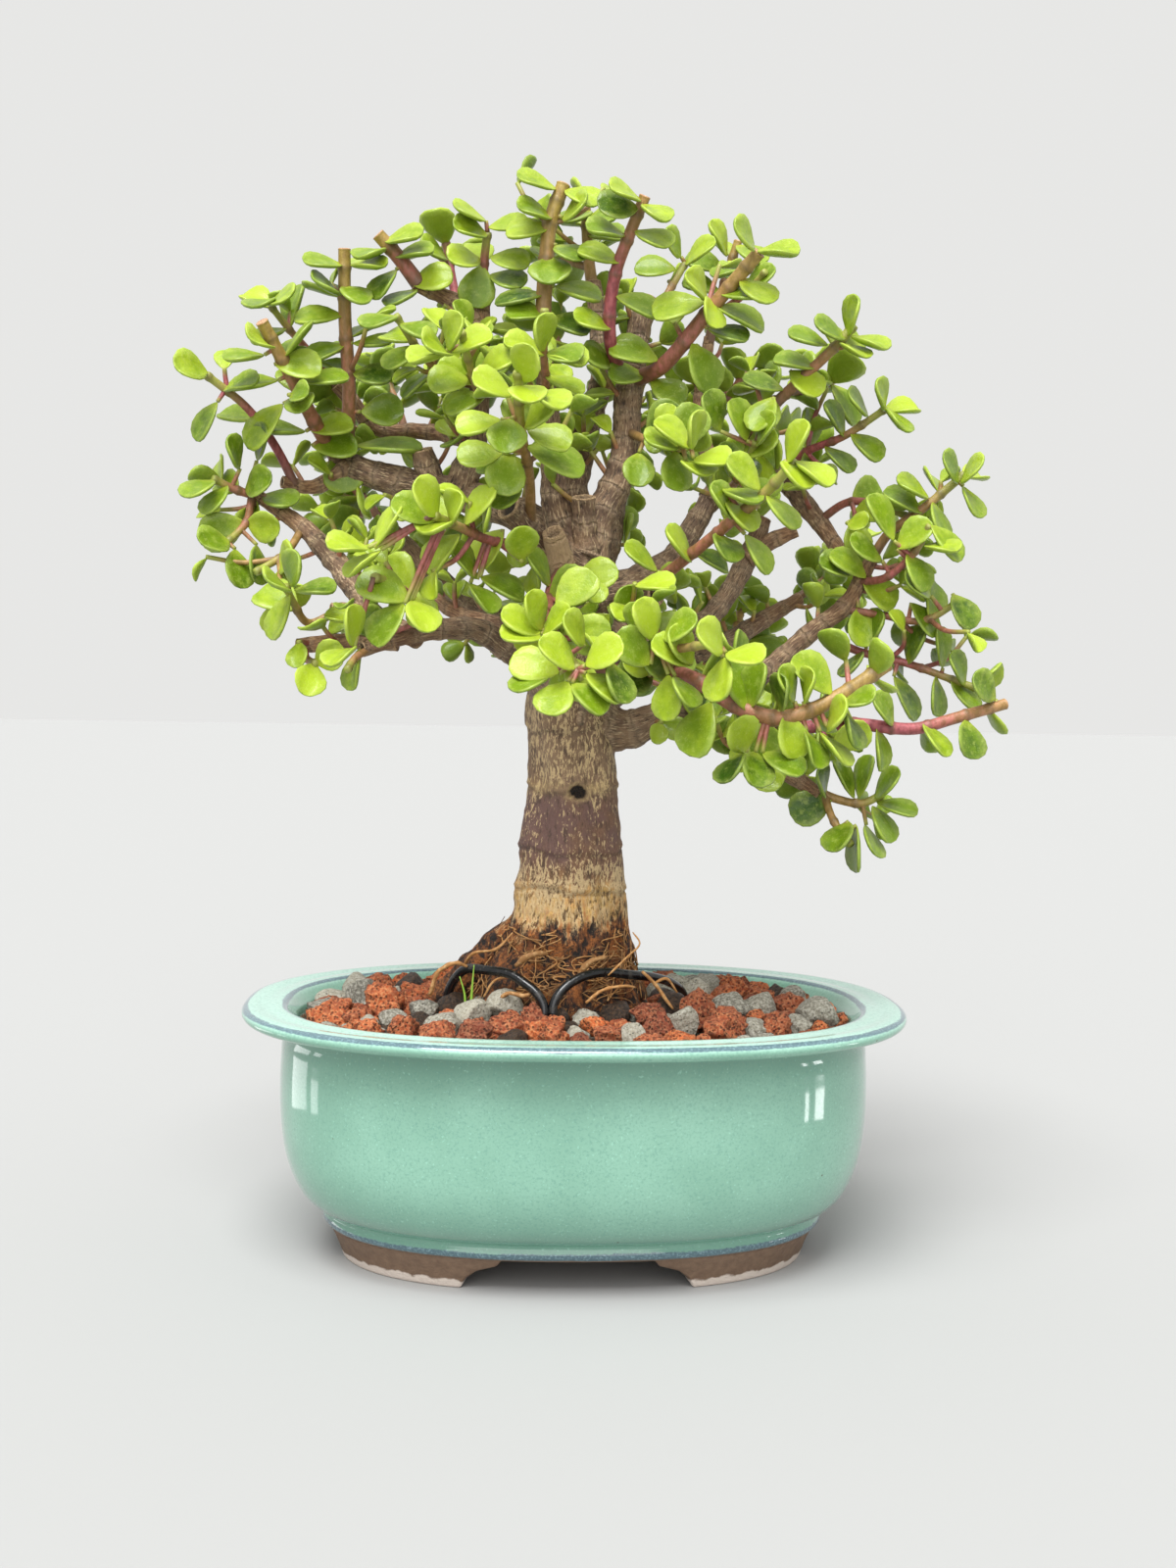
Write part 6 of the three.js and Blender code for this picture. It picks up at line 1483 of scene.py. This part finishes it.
class Stem:
    """A young stem: its straight stretches, which place the leaves, and the smooth line it shows. Nodes
    are the distances along it where leaves grow."""

    def __init__(self, points, phase=0.0, radius=0.0, pruned=False):
        self.points = np.array(points, float)[:, :3]
        self.radius, self.pruned, self.nodes, self.leaves = radius, pruned, [], []
        steps = np.diff(self.points, axis=0)
        lengths = np.linalg.norm(steps, axis=1)
        self.starts = np.concatenate([[0], np.cumsum(lengths)])
        self.total = self.starts[-1]
        self.aheads = steps / lengths[:, None]
        self.sides = []
        for ahead in self.aheads:
            if self.sides:
                side = unit(self.sides[-1] - ahead * (self.sides[-1] @ ahead))
            else:
                level = np.array([1.0, 0, 0] if abs(ahead[2]) > 0.92 else [0, 0, 1.0])
                across = unit(np.cross(ahead, level))
                side = around(across, np.cross(ahead, across), phase)
            self.sides.append(side)
        self.line = smooth_path(self.points, STEM_STEP)

    def at(self, distance):
        """Point, direction and two sides of the straight stretch at a distance along it."""
        i = int(np.searchsorted(self.starts, distance, side="right")) - 1
        i = min(max(i, 0), len(self.aheads) - 1)
        ahead, side = self.aheads[i], self.sides[i]
        return self.points[i] + ahead * (distance - self.starts[i]), ahead, side, np.cross(ahead, side)

    def shown(self, distance):
        """The point of the smooth line at the same share of the length."""
        place = distance / self.total * (len(self.line) - 1)
        return np.array([np.interp(place, np.arange(len(self.line)), column) for column in self.line.T])


class Leaf:
    """Where one leaf is: its root, the directions along it, across it and out of its upper face."""

    def __init__(self, root, ahead, face, length, wide=1.0):
        self.root, self.ahead, self.length, self.wide = root, ahead, length, wide
        self.face = unit(face - ahead * (face @ ahead))
        self.across = np.cross(self.face, ahead)

    def middle(self):
        return self.root + LEAF_MIDDLE * self.length * self.ahead

    def balls(self):
        """Centres of the balls that stand for the leaf, and their radius."""
        u, v = np.array(BALLS).T[:, :, None] * self.length
        centres = self.root + u * self.ahead + v * LEAF_WIDTH * self.across - BALL_SINK * self.face
        return centres, BALL_SHARE * self.length

    def in_open_place(self):
        """Whether its middle is seen in one of the open places."""
        middle = self.middle()
        x, y, _ = in_frame(middle)
        places = AIR_PLACES + (WOOD_PLACES if middle[1] < BEHIND_WOOD else [])
        open_x, open_y, half = np.array(places).T
        return np.any(np.hypot(open_x - x, open_y - y) < half + OPEN_MARGIN)

    def hides(self, chosen):
        """Whether it stands before or just behind one of the chosen leaves as the camera sees them."""
        x, y, away = in_frame(self.middle())
        apart = np.hypot(chosen[:, 0] - x, chosen[:, 1] - y)
        return np.any((apart < HIDES_WITHIN * chosen[:, 3]) & (away < chosen[:, 2] + HIDES_BEHIND))


class Room:
    """The balls that stand for wood, stems and leaves, so that a new leaf finds a free place, and the
    chosen leaves as the camera sees them: x, y, distance and half length in pixels."""

    def __init__(self):
        self.centres, self.radii = np.zeros((MOST_BALLS, 3)), np.zeros(MOST_BALLS)
        self.owners = np.full(MOST_BALLS, "", dtype=object)
        self.soft = np.zeros(MOST_BALLS, bool)
        self.count = 0
        self.chosen = np.zeros((0, 4))

    def take(self, centres, radii, owner, soft):
        """More balls. Those of leaves are soft, and those of wood and stems aren't."""
        some = slice(self.count, self.count + len(centres))
        self.centres[some], self.radii[some], self.owners[some], self.soft[some] = centres, radii, owner, soft
        self.count = some.stop

    def take_line(self, points, radii, owner, skip=0):
        """Balls along a stem, whose radius runs from the first to the second, without its first few."""
        line = Stem(points)
        ways = np.arange(0, line.total + 1e-9, BALL_STEP)
        centres = np.array([line.at(way)[0] for way in ways])
        self.take(centres[skip:], mix(*radii, ways / line.total)[skip:], owner, False)

    def is_clear(self, centres, radius, owner, room, own_room):
        """Whether balls keep clear of all others, and of the soft ones of their owner. The first ball, at
        the leaf's root, may touch its owner's, and no ball minds its own stem."""
        some = slice(0, self.count)
        own = self.owners[some] == owner
        reach = (radius + self.radii[some]) * np.where(own, own_room, room)
        near = np.sum((centres[:, None] - self.centres[None, some]) ** 2, axis=-1) <= reach ** 2
        near &= ~(own & ~self.soft[some])[None]
        near[0] &= ~own
        return not near.any()

    def find_leaf(self, stem, distance, turn, rise, length, owner, rooms, sway=lambda: 0):
        """The first of the tries at which a leaf finds room, or None. It ends at a try that would hide
        a chosen leaf or stand in an open place. The sway is added to the rise of each try."""
        for more, lift, size in TRIES:
            leaf = spread_leaf(stem.at(distance), turn + more, rise + lift + sway(), length * size)
            if leaf.hides(self.chosen) or leaf.in_open_place():
                return None
            centres, radius = leaf.balls()
            if self.is_clear(centres, radius, owner, *rooms):
                self.take(centres, radius, owner, True)
                leaf.root = stem.shown(distance)
                stem.leaves.append(leaf)
                return leaf
        return None


def spread_leaf(place, azimuth, rise, length):
    """A leaf on a stem, turned round it by the azimuth and lifted towards its tip by the rise. Its face
    leans towards the light and away from the middle of the crown."""
    at, stem_ahead, side, up = place
    outward = around(side, up, azimuth)
    ahead = around(outward, stem_ahead, rise)
    face = around(stem_ahead, -outward, rise)
    face = face + [0, 0, TOWARDS_LIGHT] + unit(at - GROWTH_CENTRE) * AWAY_FROM_CROWN
    return Leaf(at, ahead, face, length)


def chosen_leaf(row, stems):
    """A leaf given as the camera sees it. It grows from the nearest stem, reaches towards the camera by
    what its seen length lacks, and is rolled, face up, by what its seen width lacks."""
    root_x, root_y, tip_x, tip_y, width, tone, *more = row
    line = np.concatenate([Stem(points).line for _, points, *_ in stems])
    seen = in_frame(line)
    nearest = np.argmin(np.hypot(seen[:, 0] - root_x, seen[:, 1] - root_y))
    depth = line[nearest, 1] - (more[0] if more else 1)
    root, tip = from_frame(root_x, root_y, depth), from_frame(tip_x, tip_y, depth)
    view = unit(CAMERA_PLACE - root)
    seen_length = np.linalg.norm(tip - root)
    length = max(seen_length, CHOSEN_LENGTH)
    ahead = unit(tip - root + view * math.sqrt(length ** 2 - seen_length ** 2) * 0.9)
    share = width * (depth - CAMERA_PLACE[1]) / FOCAL_PIXELS / (LEAF_WIDTH * length)
    front = unit(view - ahead * (view @ ahead))
    side = np.cross(front, ahead)
    roll = math.acos(min(share, 1)) * (1 if side[2] > 0 else -1)
    leaf = Leaf(root, ahead, around(front, side, roll), length, max(share, 1))
    leaf.youth, leaf.foot = tone, line[nearest]
    return leaf


def grow_spray(name, key, stems, room):
    """Crossed pairs of leaves from the tip of each stem down to its bare foot."""
    grown = []
    for stem_key, (radius, points, *cut) in enumerate(stems):
        stem = Stem(points, 2 * math.pi * draw(key, stem_key, 9), radius, bool(cut))
        bare = min(BARE_SHARE * stem.total, BARE_MOST) if stem_key == 0 else FORK_BARE
        distance = stem.total - (CUT_BACK if cut else TIP_BACK)
        pair = 0
        while distance > bare:
            young = pair == 0 and not cut
            steepest = YOUNG_RISE if young else (CUT_RISE if cut else TIP_RISE)
            full = LEAF_LENGTH * (YOUNG_SIZE if young else 1)
            age = min(pair / 3, 1)
            leaf_key = key * 40 + stem_key * 20 + pair
            for half in (0, 1):
                turn = FACET_TURN[pair % 2 + 2 * half] + mix(*SPRAY_TURNS, draw(leaf_key, half, 1))
                rise = mix(steepest, OLD_RISE, age) + mix(*SPRAY_SWAY, draw(leaf_key, half, 2))
                length = full * mix(*SPRAY_SIZES, draw(leaf_key, half, 3))
                leaf = room.find_leaf(stem, distance, turn, rise, length, name, SPRAY_ROOM)
                if leaf:
                    leaf.youth = TIP_YOUTH - AGEING * age + YOUNG_YOUTH * young + BRIGHT.get(name, 0)
            stem.nodes.append(distance)
            spacing = (FIRST_SPACING if pair == 0 else 1) * mix(*PAIR_SPACING, draw(key, stem_key, pair + 20))
            distance -= INTERNODE * spacing
            pair += 1
        grown.append(stem)
    return grown


def grow_shoot(start, direction, reach, size, pairs, owner, room, rng, bright):
    """A short side shoot that ends at its outermost pair of leaves, above smaller crossed pairs, in a
    list. The list is empty if no leaf finds room."""
    direction = unit(direction)
    bend = unit(direction + 0.35 * np.array([0, 0, 1.0]) + 0.2 * rng.normal(size=3))
    points = [start, start + direction * reach * 0.5, start + (direction * 0.5 + bend * 0.5) * reach]
    stem = Stem(points, rng.random() * 2 * math.pi, SHOOT_RADIUS)
    reached = 0
    for pair in range(pairs):
        distance = stem.total - SHOOT_BACK - pair * SHOOT_SPACING * size
        if distance < 0.2 * reach:
            break
        rise, length = (YOUNG_RISE, YOUNG_SHOOT_SIZE * size) if pair == 0 else (SHOOT_RISE, size)
        for half in (0, 1):
            leaf = room.find_leaf(stem, distance, FACET_TURN[(pair + 2 * half) % 4], rise, length, owner,
                                  SHOOT_ROOM, lambda: rng.uniform(*SHOOT_SWAY))
            if leaf:
                leaf.youth = rng.uniform(*SHOOT_YOUTH) + bright
                reached = max(reached, distance)
    share = (reached + SHOOT_BACK) / stem.total
    stem.line = stem.line[:max(4, math.ceil(share * len(stem.line)))]
    return [stem] if stem.leaves else []


def grow_all():
    """The sprays, then a side shoot in most leaf axils and along the limbs where there is room."""
    room = Room()
    for points in LIMBS.values():
        room.take_line(points, (points[0][3], points[-1][3]), "wood")
    for z, x, y, wide, _ in TRUNK:
        room.take([[x, y, z]], wide, "wood", False)
    for name, stems in SPRAYS.items():
        for radius, points, *_ in stems:
            room.take_line(points, (radius, radius), name, 2)
    chosen = {name: [chosen_leaf(row, SPRAYS[name]) for row in rows] for name, rows in CHOSEN_LEAVES.items()}
    for name, leaves in chosen.items():
        for leaf in leaves:
            room.take(*leaf.balls(), name, True)
            middle = in_frame(leaf.middle())
            half = 0.5 * leaf.length * FOCAL_PIXELS / middle[2]
            room.chosen = np.concatenate([room.chosen, [[*middle, half]]])
    grown = {name: grow_spray(name, key, stems, room) for key, (name, stems) in enumerate(SPRAYS.items())}
    for name, leaves in chosen.items():
        grown[name][0].leaves.extend(leaves)
        for leaf in leaves:
            if np.linalg.norm(leaf.foot - leaf.root) > TWIG_FROM:
                points = [leaf.foot, mix(leaf.foot, leaf.root, 0.5), leaf.root]
                grown[name].append(Stem(points, radius=TWIG_RADIUS))
    rng = np.random.default_rng(22)
    for name, stems in grown.items():
        chance, bright = SHOOT_CHANCES[name not in CHOSEN_LEAVES], BRIGHT.get(name, 0)
        for stem in list(stems):
            for number, distance in enumerate(stem.nodes[1:], 1):
                _, ahead, side, up = stem.at(distance)
                for half in (0, 1):
                    turn = FACET_TURN[number % 2 + 2 * half] + rng.uniform(-0.4, 0.4)
                    if rng.random() > chance:
                        continue
                    long = rng.random() < LONG_CHANCE
                    stems += grow_shoot(
                        stem.shown(distance), around(side, up, turn) + ahead * rng.uniform(0.3, 1.1),
                        rng.uniform(*(LONG_SHOOTS if long else SHORT_SHOOTS)), rng.uniform(*SHOOT_LEAVES),
                        3 if long else 2, f"{name}_{number}_{half}", room, rng, bright,
                    )
    ends = {name: np.array(stems[0][1][-1]) for name, stems in SPRAYS.items()}
    for limb, points in LIMBS.items():
        line = Stem(points)
        for distance in np.arange(0.3 * line.total, line.total - 2, LIMB_SHOOT_EVERY):
            at, _, side, up = line.at(distance)
            outward = around(side, up, rng.random() * 2 * np.pi)
            outward = outward + [0, 0, 0.4] + 0.3 * unit(at - GROWTH_CENTRE)
            nearest = min(ends, key=lambda name: np.linalg.norm(ends[name] - at))
            grown[nearest] += grow_shoot(
                line.shown(distance), outward, rng.uniform(*LIMB_SHOOTS), rng.uniform(*LIMB_LEAVES), 3,
                f"{limb}_{distance:.0f}", room, rng, 0,
            )
    return grown


def make_stems(grown):
    """Slender tubes with a swollen ring at each node. Stems that were cut end flat, and their red fades
    towards the cut. The others turn green towards the tip."""
    skin = Skin("red", "foot", "fresh", "scar", "cut")
    for key, (name, stems) in enumerate(grown.items()):
        red = RED.get(name, 0.3 + 0.4 * draw(key, 3, 3))
        for stem in stems:
            share = np.linspace(0, 1, len(stem.line))
            way = share * stem.total
            ring = np.max([0 * way] + [bell(way - distance, NODE_WIDTH) for distance in stem.nodes], axis=0)
            size = stem.radius * mix(1, STEM_TIP, share) * (CUT_SPREAD if stem.pruned else 1)
            size += NODE_SWELL * ring
            rings = tube_rings(stem.line, size, STEM_SIDES)
            cut = 0 * share
            if stem.pruned:
                rings = cut_off(rings, stem.line, STEM_CUT)
                cut = np.append(cut, [0.6, 1, 1])
                share, ring = [np.append(values, [values[-1]] * len(STEM_CUT)) for values in (share, ring)]
            fresh = 0 * share if stem.pruned else smoothstep(0.55, 1, share)
            wine = red * (1 - 0.6 * stem.pruned * smoothstep(0.45, 1, share))
            skin.add_rings(
                rings, red=wine[:, None], foot=smoothstep(0.3, 0.0, share)[:, None], fresh=fresh[:, None],
                scar=ring[:, None], cut=cut[:, None],
            )
    skin.object("young_stems", young_stem(), "leaf", [f"spray_{name}" for name in SPRAYS])


LEAF_RINGS, LEAF_THICK, LEAF_SPREAD = 7, 1.7, 1.06
OUTLINE, OUTLINE_ROOT, OUTLINE_TIP = 1.145, 0.85, 0.45  # size, and its powers at the root and at the tip
# Drawn for each leaf: shares of its width and thickness, cup and droop in millimetres, sideways bend as a
# share of its length, how much narrower its tip is, and tone.
WIDTHS, THICKNESSES, CUPS, DROOPS = (0.94, 1.06), (0.85, 1.15), (0.8, 2.2), (-0.4, 2.0)
SKEWS, TIP_SHARES, TONES = (-0.05, 0.05), (0.9, 1.25), (-0.22, 0.22)
# Leaf section: [share of the half width, height as a share of the thickness], over the face and back under.
LEAF_SECTION = [
    [1, 0], [0.93, 0.34], [0.5, 0.2], [-0.5, 0.2], [-0.93, 0.34], [-1, 0], [-0.8, -0.42], [-0.35, -0.62],
    [0.35, -0.62], [0.8, -0.42],
]


def make_leaves(grown):
    """Fleshy leaves. The half width of the outline goes with share^0.85 (1 - share)^0.45 of the length,
    so it is widest past the middle. The face is dished inside a raised rim and the underside bulges;
    the sides stand up and the tip hangs."""
    material = leaf_skin()
    shares = (1 - np.cos(np.pi * np.arange(1, LEAF_RINGS + 1) / (LEAF_RINGS + 1))) / 2
    along = shares[:, None]
    section, fat = np.array(LEAF_SECTION).T
    outline = OUTLINE * along ** OUTLINE_ROOT * (1 - along) ** OUTLINE_TIP
    across = outline * section
    heights = fat * np.clip(outline / outline.max() * 1.25, 0.35, 1)
    on_rim = np.maximum((np.abs(section) > 0.9) & (fat >= 0), smoothstep(0.95, 1, along))
    under = (fat < 0) * 1.0
    rng = np.random.default_rng(23)
    for piece, prefixes in GROUPS.items():
        skin = Skin("tone", "rim", "under", "stalk")
        names = [name for name in grown if name.startswith(prefixes)]
        for leaf in [leaf for name in names for stem in grown[name] for leaf in stem.leaves]:
            length = LEAF_SPREAD * leaf.length
            width = LEAF_WIDTH * length * leaf.wide * rng.uniform(*WIDTHS)
            young = np.clip(leaf.youth, 0, 1)
            cup = rng.uniform(*CUPS) + 1.6 * max(young - 0.75, 0) * 4 * rng.random()
            droop = rng.uniform(*DROOPS)
            thick = LEAF_THICK * rng.uniform(*THICKNESSES) * (length / LEAF_LENGTH) ** 0.5
            skew = rng.uniform(*SKEWS) * length
            height = cup * (2 * across) ** 2 - droop * along ** 2 + thick * heights
            point = rng.uniform(*TIP_SHARES) ** along ** 6
            aside = across / point * width + skew * along ** 2
            place = leaf.root + (along * length)[..., None] * leaf.ahead
            place = place + aside[..., None] * leaf.across + height[..., None] * leaf.face
            tip = leaf.root + length * leaf.ahead + skew * leaf.across - droop * leaf.face
            tone = np.clip(young + rng.uniform(*TONES), 0, 1)
            skin.add_rings(place, leaf.root, tip, tone=tone, rim=on_rim, under=under,
                           stalk=smoothstep(0.3, 0.08, along))
        skin.object(piece, material, "leaf", [f"spray_{name}" for name in names])


# ---------------- assembly


def dress_nodes():
    """The hidden solids that stay as they are packed get their finishes."""
    screens = mesh_plastic()
    finishes = {"soil": damp_soil(), "drain_screen_left": screens, "drain_screen_right": screens}
    for name, material in finishes.items():
        for material_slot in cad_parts[name].material_slots:
            material_slot.material = material


make_camera()
make_floor()
dress_nodes()
make_light(make_pot())
make_gravel()
make_trunk()
make_limbs()
make_ties()
make_fibres()
all_grown = grow_all()
make_stems(all_grown)
make_leaves(all_grown)

bpy.context.view_layer.update()
